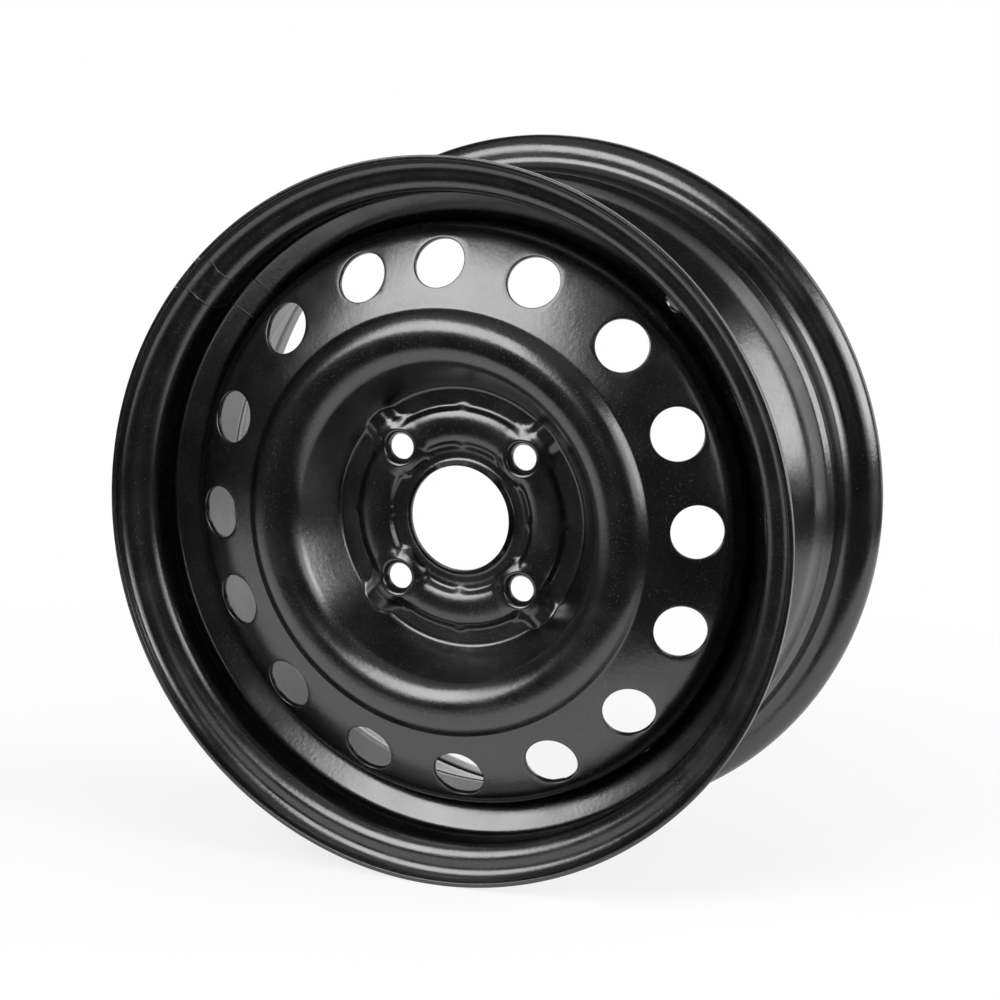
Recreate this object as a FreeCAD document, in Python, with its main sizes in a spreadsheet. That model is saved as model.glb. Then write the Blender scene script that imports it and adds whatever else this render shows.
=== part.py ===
"""Pressed steel car wheel: a rolled rim, a pressed disc and the weld seams that join them.

Millimetres. The wheel's axis is Y, its outboard face looks along -Y and the origin is
on the axis at the middle of the rim.
"""
import FreeCAD, Part
import math
import os
import Sketcher
from FreeCAD import Placement, Rotation, Vector

AXIS = Vector(0, 1, 0)
ORIGIN = Vector(0, 0, 0)

# Driving dimensions, one sheet cell each. Lengths are in millimetres and angles in degrees.
SIZES = {
    # Rim: bead faces, flanges and seats
    "rim_width": 139.7,
    "bead_seat_diameter": 354.8,
    "rim_wall": 2.5,
    "flange_height": 17.3,
    "flange_curl": 9.5,
    "flange_lip": 1.65,
    "bead_heel": 6.5,
    "seat_angle": 5,
    "seat_width": 16.3,
    "hump_ramp": 4,
    "hump_rise": 1.1,
    "hump_round": 5,
    # Rim: the drop centre and the ramp behind it, measured from the bead faces
    "hump_top": 5.65,
    "shoulder_round": 6.5,
    "wall_lean": 25.4,
    "well_depth": 17.3,
    "well_width": 32.8,
    "well_round": 8,
    "ramp_round": 20,
    "ledge_reach": 44.8,
    "ledge_drop": 5.2,
    "ledge_rise": 2.2,
    # Rim: valve hole in the sloping wall of the drop centre
    "valve_hole": 11.5,
    "valve_angle": 47,
    # Disc: hub face, bore and floor
    "inset": 45,
    "disc_wall": 3.25,
    "centre_bore": 56.6,
    "bore_land": 2.6,
    "collar_rise": 3.85,
    "collar_angle": 55,
    "collar_round": 3,
    "floor_diameter": 140,
    "foot_round": 4,
    # Disc: bowl, crest ring, vent zone and skirt
    "crest_height": 30.75,
    "bowl_slope": 58,
    "bowl_round": 17.5,
    "crest_round": 15,
    "crease_diameter": 228.9,
    "crease_drop": 7.7,
    "flank_slope": 50,
    "crease_round": 3,
    "zone_run": 19.06,
    "zone_drop": 5.47,
    "zone_round": 130,
    "shoulder_lead": 15.54,
    "skirt_round": 16.5,
    "skirt_seat": 21.8,
    "skirt_fit": 0.1,
    # Disc: raised crown with its bolt bosses and seats
    "bolt_circle": 100,
    "bolt_hole": 14,
    "bolt_turn_angle": 45,
    "seat_diameter": 18,
    "seat_cone": 60,
    "crown_inside": 79,
    "crown_outside": 120,
    "crown_rise": 4.75,
    "boss_diameter": 31,
    "spur_width": 21,
    "boss_draft": 20,
    "dimple_diameter": 20,
    "dimple_gap": 1.8,
    "nub_diameter": 10,
    "nub_reach": 1.5,
    "nub_rise": 1.6,
    # Disc: vent holes, pierced two at a time with the tool's own indexing errors
    "vent_circle": 275.8,
    "vent_hole": 28,
    "vent_pitch_angle": 22.5,
    "vent_start_angle": 24.7,
    "pair_angle_one": 0,
    "pair_angle_two": 1.7,
    "pair_angle_three": -1.6,
    "pair_angle_four": 0.9,
    "pair_angle_five": -1.0,
    "pair_angle_six": 0.5,
    "pair_angle_seven": 1.0,
    "pair_angle_eight": 0.9,
    # Weld seams
    "seam_count": 4,
    "seam_span_angle": 40,
    "seam_turn_angle": 0,
    "seam_leg": 4,
    "seam_rise": 3,
    "seam_round": 1.5,
}

BOLT_COUNT = 4
PAIR_WORDS = ("one", "two", "three", "four", "five", "six", "seven", "eight")
# A punch is this many walls long, and a seam's face bulges to this share of its legs
PUNCH_WALLS = 8
SEAM_CROWN = 0.75
# A round may fill this share of a run, and the bowl's round may have this share of the crest
ROUND_SHARE = 0.97
CREST_SHARE = 0.56

# Places that several sketches share, as formulas of the sheet's cells
SEAT = "(Sheet.bead_seat_diameter / 2)"
FLANGE = "(%s + Sheet.flange_height)" % SEAT
FACE = "(Sheet.rim_width / 2)"
LIP = "(%s + Sheet.flange_curl + Sheet.flange_lip)" % FACE
SEAT_FOOT = "(%s - Sheet.seat_width * tan(Sheet.seat_angle * 1 deg))" % SEAT
HUMP = "(%s + Sheet.hump_rise)" % SEAT_FOOT
WELL = "(%s - Sheet.well_depth)" % SEAT
WELL_UNDER = "(%s - Sheet.rim_wall)" % WELL
SHOULDER_Y = "(Sheet.seat_width + Sheet.hump_ramp + Sheet.hump_top - %s)" % FACE
WELL_Y = "(%s + (%s - %s) * tan(Sheet.wall_lean * 1 deg))" % (SHOULDER_Y, HUMP, WELL)
SKIRT = "(%s - Sheet.skirt_fit)" % WELL_UNDER
SKIRT_END_Y = "(%s + Sheet.skirt_seat)" % WELL_Y
BORE = "(Sheet.centre_bore / 2)"
FLOOR_Y = "(-Sheet.inset - Sheet.disc_wall)"
FOOT = "(Sheet.floor_diameter / 2)"
CREST_Y = "(%s - Sheet.crest_height)" % FLOOR_Y
CREASE = "(Sheet.crease_diameter / 2)"
CREASE_Y = "(%s + Sheet.crease_drop)" % CREST_Y
BOWL_SLOPE = "(Sheet.bowl_slope * 1 deg)"
FLANK_SLOPE = "(Sheet.flank_slope * 1 deg)"
CREST_IN = "(%s + Sheet.crest_height / tan(%s))" % (FOOT, BOWL_SLOPE)
CREST_OUT = "(%s - Sheet.crease_drop / tan(%s))" % (CREASE, FLANK_SLOPE)
ZONE = "(%s + Sheet.zone_run)" % CREASE
ZONE_Y = "(%s + Sheet.zone_drop)" % CREASE_Y
SHOULDER_TIP_Y = "(%s - Sheet.shoulder_lead)" % WELL_Y
CROWN_HALF = "((Sheet.crown_outside - Sheet.crown_inside) / 4)"
CROWN_MIDDLE = "((Sheet.crown_outside + Sheet.crown_inside) / 4)"
CROWN_ROUND = "((%s ^ 2 + Sheet.crown_rise ^ 2) / (2 * Sheet.crown_rise))" % CROWN_HALF
CROWN_CENTRE_Y = "(%s - Sheet.crown_rise + %s)" % (FLOOR_Y, CROWN_ROUND)
DRAFT = "(Sheet.boss_draft * 1 deg)"
BOSS_WALL = "(Sheet.disc_wall * (1 - sin(%s)) / cos(%s))" % (DRAFT, DRAFT)

doc = FreeCAD.newDocument("steel_wheel")


def make_sheet():
    """Put every driving dimension in a cell of its own, with its name as the alias."""
    table = doc.addObject("Spreadsheet::Sheet", "Sheet")
    for row, (name, size) in enumerate(SIZES.items(), start=1):
        cell = "B%d" % row
        table.set("A%d" % row, name)
        table.set(cell, str(size))
        table.setAlias(cell, name)
    doc.recompute()
    return table


sheet = make_sheet()


def value(formula):
    """The number that a formula of the sheet's cells gives."""
    return float(sheet.evalExpression(formula))


class Outline:
    """Draws lines and arcs in a sketch and ties each corner and radius to the sheet."""

    def __init__(self, sketch):
        self.sketch = sketch

    def tie(self, constraint, formula):
        """Add a dimension whose value follows a formula."""
        index = self.sketch.addConstraint(constraint)
        name = "size_%d" % index
        self.sketch.renameConstraint(index, name)
        self.sketch.setExpression("Constraints." + name, formula)

    def corner(self, across, along):
        """A construction point held at two formulas, as its index and place."""
        place = Vector(value(across), value(along), 0)
        index = self.sketch.addGeometry(Part.Point(place), True)
        self.tie(Sketcher.Constraint("DistanceX", -1, 1, index, 1, place.x), across)
        self.tie(Sketcher.Constraint("DistanceY", -1, 1, index, 1, place.y), along)
        return index, place

    def add_arc(self, centre, radius, start, end):
        """An arc from start to end the short way round, with the ends as the sketch numbers them."""
        turn = (start - centre).cross(end - centre).z
        first, last = (start, end) if turn > 0 else (end, start)
        circle = Part.Circle(centre, Vector(0, 0, 1), radius)
        arc = Part.ArcOfCircle(circle, circle.parameter(first), circle.parameter(last))
        index = self.sketch.addGeometry(arc)
        return (index, 1, 2) if turn > 0 else (index, 2, 1)

    def chain(self, corners, closed=False):
        """Straight runs through the corners, each (across, along, radius or None), rounded by arcs."""
        marks = [self.corner(across, along) for across, along, _ in corners]
        rounds = [radius for _, _, radius in corners]
        count = len(marks)
        runs = range(count) if closed else range(count - 1)
        begins = {}
        ends = {}
        arcs = {}
        for place in range(count):
            here = marks[place][1]
            before = (marks[place - 1][1] - here).normalize()
            after = (marks[(place + 1) % count][1] - here).normalize()
            if rounds[place] is None:
                begins[place] = ends[place] = here
                continue
            radius = value(rounds[place])
            half = before.getAngle(after) / 2
            ends[place] = here + before * (radius / math.tan(half))
            begins[place] = here + after * (radius / math.tan(half))
            middle = here + (before + after).normalize() * (radius / math.sin(half))
            arcs[place] = self.add_arc(middle, radius, ends[place], begins[place])
        lines = {}
        for run in runs:
            following = (run + 1) % count
            line = self.sketch.addGeometry(Part.LineSegment(begins[run], ends[following]))
            lines[run] = line
            for side, mark in ((1, run), (2, following)):
                rule = ("Coincident", line, side, marks[mark][0], 1)
                if mark in arcs:
                    rule = ("PointOnObject", marks[mark][0], 1, line)
                self.sketch.addConstraint(Sketcher.Constraint(*rule))
        for place, (arc, start, end) in arcs.items():
            coming = lines[(place - 1) % count]
            self.sketch.addConstraint(Sketcher.Constraint("Tangent", coming, 2, arc, start))
            self.sketch.addConstraint(Sketcher.Constraint("Tangent", arc, end, lines[place], 1))
            self.tie(Sketcher.Constraint("Radius", arc, value(rounds[place])), rounds[place])

    def circle(self, across, along, radius):
        """A full circle about a corner."""
        mark, place = self.corner(across, along)
        index = self.sketch.addGeometry(Part.Circle(place, Vector(0, 0, 1), value(radius)))
        self.sketch.addConstraint(Sketcher.Constraint("Coincident", index, 3, mark, 1))
        self.tie(Sketcher.Constraint("Radius", index, value(radius)), radius)

    def capped_line(self, first, last, radius, above):
        """A straight line from first to last, closed by an arc that bulges to one side of it."""
        begin, start = self.corner(*first)
        finish, end = self.corner(*last)
        line = self.sketch.addGeometry(Part.LineSegment(start, end))
        size = value(radius)
        half = (end - start) * 0.5
        normal = Vector(-half.y, half.x, 0).normalize() * (1 if above else -1)
        middle = start + half - normal * math.sqrt(size ** 2 - half.Length ** 2)
        arc, one, two = self.add_arc(middle, size, start, end)
        self.sketch.addConstraint(Sketcher.Constraint("Coincident", line, 1, begin, 1))
        self.sketch.addConstraint(Sketcher.Constraint("Coincident", line, 2, finish, 1))
        self.sketch.addConstraint(Sketcher.Constraint("Coincident", arc, one, begin, 1))
        self.sketch.addConstraint(Sketcher.Constraint("Coincident", arc, two, finish, 1))
        self.tie(Sketcher.Constraint("Radius", arc, size), radius)


def sheet_metal(name, corners, wall):
    """A spun sheet: the outline of one face, offset by the wall and turned about the wheel's axis."""
    line = doc.addObject("Sketcher::SketchObject", name + "_line")
    Outline(line).chain(corners)
    section = doc.addObject("Part::Offset2D", name + "_section")
    section.Source = line
    section.Mode = "Skin"
    section.Fill = True
    section.setExpression("Value", wall)
    spun = doc.addObject("Part::Revolution", name + "_spun")
    spun.Source = section
    spun.Axis = AXIS
    spun.Base = ORIGIN
    spun.Angle = 360
    spun.Solid = True
    return spun


def rim_corners():
    """The tyre side of the rim, from the outboard lip to the inboard lip."""
    hump_y = "Sheet.seat_width + Sheet.hump_ramp - %s" % FACE
    well_end = "%s + Sheet.well_width" % WELL_Y
    ledge = "%s - Sheet.ledge_drop" % SEAT
    return [
        (FLANGE, "-" + LIP, None),
        (FLANGE, "-" + FACE, "Sheet.flange_curl"),
        (SEAT, "-" + FACE, "Sheet.bead_heel"),
        (SEAT_FOOT, "Sheet.seat_width - %s" % FACE, "Sheet.hump_round"),
        (HUMP, hump_y, "Sheet.hump_round"),
        (HUMP, SHOULDER_Y, "Sheet.shoulder_round"),
        (WELL, WELL_Y, "Sheet.well_round"),
        (WELL, well_end, "Sheet.ramp_round"),
        (ledge, "%s - Sheet.ledge_reach" % FACE, "Sheet.ramp_round"),
        (ledge + " + Sheet.ledge_rise", "-" + SHOULDER_Y, "Sheet.hump_round"),
        (HUMP, "-(%s)" % hump_y, "Sheet.hump_round"),
        (SEAT_FOOT, "%s - Sheet.seat_width" % FACE, "Sheet.hump_round"),
        (SEAT, FACE, "Sheet.bead_heel"),
        (FLANGE, FACE, "Sheet.flange_curl"),
        (FLANGE, LIP, None),
    ]


def fitted(radius, run, turn):
    """The formula of a radius, or of the largest one whose arc ends within a run before or after a turn."""
    return "min(%s; %s * %s / tan(%s / 2))" % (radius, ROUND_SHARE, run, turn)


def zone_round():
    """The round between the two straight runs of the vent zone, which the arcs at their far ends shorten."""
    fall = "atan(Sheet.zone_drop / Sheet.zone_run)"
    dive = "atan((%s - %s) / (%s - %s))" % (SHOULDER_TIP_Y, ZONE_Y, SKIRT, ZONE)
    turn = "(%s - %s)" % (dive, fall)
    first = "(Sheet.zone_run / cos(%s) - Sheet.crease_round * tan((%s + %s) / 2))" % (fall, FLANK_SLOPE, fall)
    last = "((%s - %s) / cos(%s) - Sheet.skirt_round * tan((90 deg - %s) / 2))" % (SKIRT, ZONE, dive, dive)
    return fitted(fitted("Sheet.zone_round", first, turn), last, turn)


def disc_corners():
    """The outboard face of the disc, from inside the centre bore to the end of the skirt."""
    crest = "(%s - %s)" % (CREST_OUT, CREST_IN)
    bowl_round = fitted("Sheet.bowl_round", "%s * %s" % (crest, CREST_SHARE), BOWL_SLOPE)
    crest_round = fitted("Sheet.crest_round", "%s * (1 - %s)" % (crest, CREST_SHARE), FLANK_SLOPE)
    collar_lean = "tan(Sheet.collar_angle * 1 deg)"
    collar_y = "%s - Sheet.collar_rise - Sheet.disc_wall * %s" % (FLOOR_Y, collar_lean)
    return [
        (BORE + " - Sheet.disc_wall", collar_y, None),
        ("%s + Sheet.collar_rise / %s" % (BORE, collar_lean), FLOOR_Y, "Sheet.collar_round"),
        (FOOT, FLOOR_Y, "Sheet.foot_round"),
        (CREST_IN, CREST_Y, bowl_round),
        (CREST_OUT, CREST_Y, crest_round),
        (CREASE, CREASE_Y, "Sheet.crease_round"),
        (ZONE, ZONE_Y, zone_round()),
        (SKIRT, SHOULDER_TIP_Y, "Sheet.skirt_round"),
        (SKIRT, SKIRT_END_Y, None),
    ]


def sketch_on(body, name, role, offset=None, turn=0):
    """A sketch on one of the body's own planes, moved along its normal by a formula and turned about it."""
    sketch = body.newObject("Sketcher::SketchObject", name)
    plane = next(item for item in body.Origin.OriginFeatures if item.Role == role)
    sketch.AttachmentSupport = [(plane, "")]
    sketch.MapMode = "FlatFace"
    if turn:
        sketch.setExpression("AttachmentOffset.Rotation.Angle", "%s * 1 deg" % turn)
    if offset:
        sketch.setExpression("AttachmentOffset.Base.z", offset)
    return sketch


def spin(body, kind, name, sketch):
    """Turn a sketch of the section plane right round the wheel's axis."""
    feature = body.newObject("PartDesign::" + kind, name)
    feature.Profile = sketch
    feature.ReferenceAxis = (sketch, ["V_Axis"])
    feature.Angle = 360
    return feature


def press(body, kind, name, sketch, length, draft="0"):
    """Raise or sink an outline by a formula, with drafted sides."""
    feature = body.newObject("PartDesign::" + kind, name)
    feature.Profile = sketch
    feature.setExpression("Length", length)
    feature.setExpression("TaperAngle", "%s * 1 deg" % draft)
    return feature


def around(body, feature):
    """Repeat a feature at every bolt."""
    doc.recompute()
    axis = next(item for item in body.Origin.OriginFeatures if item.Role == "Y_Axis")
    pattern = body.newObject("PartDesign::PolarPattern", feature.Name + "_ring")
    pattern.Originals = [feature]
    pattern.Axis = (axis, [""])
    pattern.Angle = 360
    pattern.Occurrences = BOLT_COUNT
    body.Tip = pattern
    doc.recompute()
    return pattern


def boss_outline(sketch, radius, half_width, reach):
    """A round boss about the bolt with a straight spur out to the bowl's wall."""
    centre = "(Sheet.bolt_circle / 2)"
    neck = "%s + sqrt((%s) ^ 2 - (%s) ^ 2)" % (centre, radius, half_width)
    outline = Outline(sketch)
    marks = [outline.corner(across, along) for across, along in (
        (neck, "-(%s)" % half_width),
        (reach, "-(%s)" % half_width),
        (reach, half_width),
        (neck, half_width),
    )]
    for (first, start), (last, end) in zip(marks, marks[1:]):
        line = sketch.addGeometry(Part.LineSegment(start, end))
        sketch.addConstraint(Sketcher.Constraint("Coincident", line, 1, first, 1))
        sketch.addConstraint(Sketcher.Constraint("Coincident", line, 2, last, 1))
    hub = Vector(value(centre), 0, 0)
    circle = Part.Circle(hub, Vector(0, 0, 1), value(radius))
    begin, end = (circle.parameter(marks[index][1]) for index in (3, 0))
    arc = sketch.addGeometry(Part.ArcOfCircle(circle, begin, end))
    sketch.addConstraint(Sketcher.Constraint("Coincident", arc, 1, marks[3][0], 1))
    sketch.addConstraint(Sketcher.Constraint("Coincident", arc, 2, marks[0][0], 1))
    outline.tie(Sketcher.Constraint("Radius", arc, value(radius)), radius)


def make_disc_body(pressing):
    """Press the crown, its bosses, nubs and bolt seats into the spun disc and pierce the bore."""
    body = doc.addObject("PartDesign::Body", "disc_body")
    body.BaseFeature = pressing
    doc.recompute()
    floor = "Sheet.inset + Sheet.disc_wall"
    wall_slope = "tan(%s)" % BOWL_SLOPE

    # The crown stands up between the bolts as a rounded ring, hollow behind
    crown = sketch_on(body, "crown_section", "XY_Plane")
    low = FLOOR_Y
    Outline(crown).capped_line(
        ("Sheet.crown_inside / 2", low), ("Sheet.crown_outside / 2", low), CROWN_ROUND, above=False)
    spin(body, "Revolution", "crown", crown)
    doc.recompute()

    # Each bolt has a round boss whose spur runs out to the wall of the bowl
    boss = sketch_on(body, "boss_outline", "XZ_Plane", floor, "Sheet.bolt_turn_angle")
    boss_outline(boss, "Sheet.boss_diameter / 2", "Sheet.spur_width / 2",
                 "%s + Sheet.crown_rise / %s" % (FOOT, wall_slope))
    around(body, press(body, "Pad", "boss", boss, "Sheet.crown_rise", "-Sheet.boss_draft"))

    # Small nubs mark the middle of each span on both edges of the crown
    nub = sketch_on(body, "nub_outline", "XZ_Plane", floor)
    marks = Outline(nub)
    nub_radius = "Sheet.nub_diameter / 2"
    marks.circle("Sheet.crown_outside / 2 + Sheet.nub_reach - " + nub_radius, "0", nub_radius)
    marks.circle("Sheet.crown_inside / 2 - Sheet.nub_reach + " + nub_radius, "0", nub_radius)
    around(body, press(body, "Pad", "nub", nub, "Sheet.nub_rise", "-Sheet.boss_draft"))

    # The back is sunk behind the crown and the bosses, so that the wall stays even
    hollow = sketch_on(body, "crown_hollow_section", "XY_Plane")
    back = "-Sheet.inset"
    hollow_round = "%s - Sheet.disc_wall" % CROWN_ROUND
    hollow_half = "sqrt((%s) ^ 2 - (%s - %s) ^ 2)" % (hollow_round, CROWN_CENTRE_Y, back)
    Outline(hollow).capped_line(
        ("%s - %s" % (CROWN_MIDDLE, hollow_half), back), ("%s + %s" % (CROWN_MIDDLE, hollow_half), back),
        hollow_round, above=False)
    spin(body, "Groove", "crown_hollow", hollow)
    doc.recompute()
    sunk = sketch_on(body, "boss_hollow_outline", "XZ_Plane", "Sheet.inset", "Sheet.bolt_turn_angle")
    boss_outline(sunk, "Sheet.boss_diameter / 2 - " + BOSS_WALL, "Sheet.spur_width / 2 - " + BOSS_WALL,
                 "%s + Sheet.crown_rise / %s" % (FOOT, wall_slope))
    hollow_boss = press(body, "Pocket", "boss_hollow", sunk, "Sheet.crown_rise", "-Sheet.boss_draft")
    hollow_boss.Reversed = True
    around(body, hollow_boss)

    # A dimple behind each seat carries the bolt's cone
    dimple_back = "Sheet.inset + Sheet.dimple_gap"
    dimple_depth = "Sheet.crown_rise + Sheet.disc_wall / 2 - Sheet.dimple_gap"
    dimple = sketch_on(body, "dimple_outline", "XZ_Plane", dimple_back, "Sheet.bolt_turn_angle")
    Outline(dimple).circle("Sheet.bolt_circle / 2", "0", "Sheet.dimple_diameter / 2")
    around(body, press(body, "Pad", "dimple", dimple, dimple_depth))

    # Conical bolt seats, sunk from the top of the bosses and open behind
    top = sketch_on(body, "seat_outline", "XZ_Plane", floor + " + Sheet.crown_rise", "Sheet.bolt_turn_angle")
    Outline(top).circle("Sheet.bolt_circle / 2", "0", "Sheet.bolt_hole / 2")
    doc.recompute()
    seat = body.newObject("PartDesign::Hole", "seat")
    seat.Profile = top
    doc.recompute()
    seat.HoleCutType = "Countersink"
    seat.HoleCutCustomValues = True
    seat.DepthType = "ThroughAll"
    seat.setExpression("Diameter", "Sheet.bolt_hole")
    seat.setExpression("HoleCutDiameter", "Sheet.seat_diameter")
    seat.setExpression("HoleCutCountersinkAngle", "Sheet.seat_cone * 1 deg")
    around(body, seat)

    # The centre bore trims the turned-up collar to a narrow land, with a lead-in for the hub's spigot
    bore = sketch_on(body, "bore_section", "XY_Plane")
    land_y = "(%s - Sheet.collar_rise + Sheet.bore_land)" % FLOOR_Y
    clear_y = "(Sheet.disc_wall - Sheet.inset)"
    Outline(bore).chain([
        ("0", CREST_Y, None),
        (BORE, CREST_Y, None),
        (BORE, land_y, None),
        ("%s + %s - %s" % (BORE, clear_y, land_y), clear_y, None),
        ("0", clear_y, None),
    ], closed=True)
    spin(body, "Groove", "bore", bore)
    doc.recompute()
    return body


def cylinder(name, radius, middle, direction, length):
    """A punch of the given radius formula, centred on a point and lying along a direction."""
    punch = doc.addObject("Part::Cylinder", name)
    punch.setExpression("Radius", radius)
    punch.Height = length
    start = middle - direction * (length / 2)
    punch.Placement = Placement(start, Rotation(Vector(0, 0, 1), direction))
    return punch


def about_axis(radius, along, lean, angle):
    """A point at a radius and angle on the wheel, and the direction that leans outwards from -Y there."""
    turn = Rotation(AXIS, -angle)
    middle = turn.multVec(Vector(radius, along, 0))
    direction = turn.multVec(Vector(math.sin(lean), -math.cos(lean), 0))
    return middle, direction


def vent_slope(line, point):
    """The direction of the disc's section at one of its points, pointing away from the wheel's axis."""
    edge = min(line.Edges, key=lambda item: item.distToShape(Part.Vertex(point))[0])
    slope = edge.tangentAt(edge.Curve.parameter(point))
    return slope if slope.x > 0 else slope * -1


def make_disc():
    """The pressed disc with its vents pierced square to the vent zone, two at a time."""
    pressing = sheet_metal("disc", disc_corners(), "Sheet.disc_wall")
    doc.recompute()
    body = make_disc_body(pressing)
    radius = value("Sheet.vent_circle / 2")
    station = Part.makeLine(Vector(radius, value(CREST_Y), 0), Vector(radius, 0, 0))
    line = doc.getObject("disc_line").Shape
    surface = line.distToShape(station)[1][0][0]
    slope = vent_slope(line, surface)
    lean = math.atan2(slope.y, slope.x)
    length = PUNCH_WALLS * value("Sheet.disc_wall")
    punches = []
    for pair, word in enumerate(PAIR_WORDS):
        first = value("Sheet.vent_start_angle + Sheet.pair_angle_%s" % word)
        for hole in (0, 1):
            angle = first + (2 * pair + hole) * value("Sheet.vent_pitch_angle")
            middle, direction = about_axis(radius, surface.y, lean, angle)
            name = "vent_punch_%s_%d" % (word, hole + 1)
            punches.append(cylinder(name, "Sheet.vent_hole / 2", middle, direction, length))
    tool = doc.addObject("Part::MultiFuse", "vent_punches")
    tool.Shapes = punches
    disc = doc.addObject("Part::Cut", "disc_vented")
    disc.Base = body
    disc.Tool = tool
    disc.Label = "disc"
    return disc


def make_rim():
    """The rolled rim with its valve hole square to the sloping wall of the drop centre."""
    spun = sheet_metal("rim", rim_corners(), "-Sheet.rim_wall")
    radius = value("(%s + %s) / 2" % (HUMP, WELL))
    along = value("(%s + %s) / 2" % (SHOULDER_Y, WELL_Y))
    lean = math.radians(value("180 - Sheet.wall_lean"))
    middle, direction = about_axis(radius, along, lean, value("Sheet.valve_angle"))
    length = PUNCH_WALLS * value("Sheet.rim_wall")
    punch = cylinder("valve_punch", "Sheet.valve_hole / 2", middle, direction, length)
    rim = doc.addObject("Part::Cut", "rim_pierced")
    rim.Base = spun
    rim.Tool = punch
    rim.Label = "rim"
    return rim


def make_weld_beads():
    """Fillet seams in the corner between the skirt's inner end and the underside of the rim."""
    section = doc.addObject("Sketcher::SketchObject", "seam_section")
    crown = ("%s - Sheet.seam_rise * %s" % (WELL_UNDER, SEAM_CROWN),
             "%s + Sheet.seam_leg * %s" % (SKIRT_END_Y, SEAM_CROWN), "Sheet.seam_round")
    Outline(section).chain([
        (WELL_UNDER, SKIRT_END_Y, None),
        (WELL_UNDER, SKIRT_END_Y + " + Sheet.seam_leg", None),
        crown,
        (WELL_UNDER + " - Sheet.seam_rise", SKIRT_END_Y, None),
    ], closed=True)
    count = int(value("Sheet.seam_count"))
    seams = []
    for index in range(count):
        seam = doc.addObject("Part::Revolution", "seam_%d" % (index + 1))
        seam.Source = section
        seam.Axis = AXIS
        seam.Base = ORIGIN
        seam.setExpression("Angle", "Sheet.seam_span_angle * 1 deg")
        seam.Solid = True
        start = value("Sheet.seam_turn_angle + Sheet.seam_span_angle / 2") + index * 360 / count
        seam.Placement = Placement(ORIGIN, Rotation(AXIS, -start))
        seams.append(seam)
    beads = doc.addObject("Part::Compound", "seams")
    beads.Links = seams
    beads.Label = "weld_beads"
    return beads


def check(parts):
    """Stop if any object failed, a shape is unsound or a part has the wrong number of solids."""
    for item in doc.Objects:
        if "Invalid" in item.State or "Error" in item.State:
            raise RuntimeError("%s failed: %s" % (item.Name, item.State))
    for part, solids in parts:
        shape = part.Shape
        if shape.isNull() or not shape.isValid():
            raise RuntimeError("%s has no sound shape" % part.Label)
        if len(shape.Solids) != solids:
            raise RuntimeError("%s has %d solids" % (part.Label, len(shape.Solids)))


rim = make_rim()
disc = make_disc()
weld_beads = make_weld_beads()
doc.recompute()
parts = [(rim, 1), (disc, 1), (weld_beads, int(value("Sheet.seam_count")))]
check(parts)
os.makedirs("parts", exist_ok=True)
for part, _ in parts:
    part.Shape.exportStep("parts/%s.step" % part.Label)
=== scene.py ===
"""A pressed steel car wheel in black dip paint, on a white studio floor.

Metres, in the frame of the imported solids: the wheel's axis is Y, its outboard face looks
along -Y and the origin is on the axis at the middle of the rim.
"""

import logging
import math
from collections.abc import Callable, Sequence
from dataclasses import dataclass, field
from enum import Enum

import bmesh
import bpy
import numpy as np
from mathutils import Matrix, Vector


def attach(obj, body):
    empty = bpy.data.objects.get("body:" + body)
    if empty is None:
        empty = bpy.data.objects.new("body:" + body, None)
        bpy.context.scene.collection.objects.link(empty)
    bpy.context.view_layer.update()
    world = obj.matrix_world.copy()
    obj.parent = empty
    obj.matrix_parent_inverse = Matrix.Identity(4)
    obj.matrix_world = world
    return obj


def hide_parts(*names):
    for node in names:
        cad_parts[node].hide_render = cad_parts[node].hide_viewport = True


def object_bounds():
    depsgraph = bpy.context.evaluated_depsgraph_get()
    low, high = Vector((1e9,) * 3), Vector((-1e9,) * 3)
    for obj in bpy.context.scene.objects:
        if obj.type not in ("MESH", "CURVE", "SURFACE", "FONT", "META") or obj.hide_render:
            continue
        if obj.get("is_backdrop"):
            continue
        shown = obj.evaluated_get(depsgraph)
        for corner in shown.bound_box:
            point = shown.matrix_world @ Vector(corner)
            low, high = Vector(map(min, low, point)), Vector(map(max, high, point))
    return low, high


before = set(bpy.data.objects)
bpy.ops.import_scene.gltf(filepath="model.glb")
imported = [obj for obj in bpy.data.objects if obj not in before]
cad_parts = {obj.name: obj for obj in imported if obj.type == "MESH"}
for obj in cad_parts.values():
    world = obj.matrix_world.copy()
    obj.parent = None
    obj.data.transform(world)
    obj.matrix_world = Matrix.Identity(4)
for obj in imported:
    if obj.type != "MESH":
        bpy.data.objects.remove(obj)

logging.basicConfig(level=logging.INFO, format="%(name)s: %(message)s")
LOG = logging.getLogger("wheel")

MM = 0.001
BODY = "root"
SAME_POINT = 0.01 * MM
SMOOTH_ANGLE = math.radians(38)
SHARP_ANGLE = math.radians(50)
NOISE_RANGE = (0.3, 0.7)
FAR_BELOW = -1.0

Array = np.ndarray
Surface = Callable[[Array, Array], Array]


class Side(Enum):
    """The two faces of a pressed sheet."""

    FACE = "face"
    BACK = "back"


@dataclass(frozen=True)
class Corner:
    """A corner of a sheet's section.

    Args:
        radius: distance from the wheel's axis.
        along: place along the axis.
        bend: radius of the bend at the corner, 0 where the line starts or ends.
        step: longest piece of the line up to the corner and round its bend.
    """

    radius: float
    along: float
    bend: float = 0.0
    step: float = 4 * MM


def smooth_max(one: Array, two: Array, reach: float) -> Array:
    """The larger of two heights, with the valley between them filled by a fillet of a given reach."""
    return np.maximum(one, two) + np.maximum(reach - np.abs(one - two), 0.0) ** 2 / (4 * reach)


def smooth_min(one: Array, two: Array, reach: float) -> Array:
    """The smaller of two heights, with the edge between them rounded over a given reach."""
    return -smooth_max(-one, -two, reach)


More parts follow.
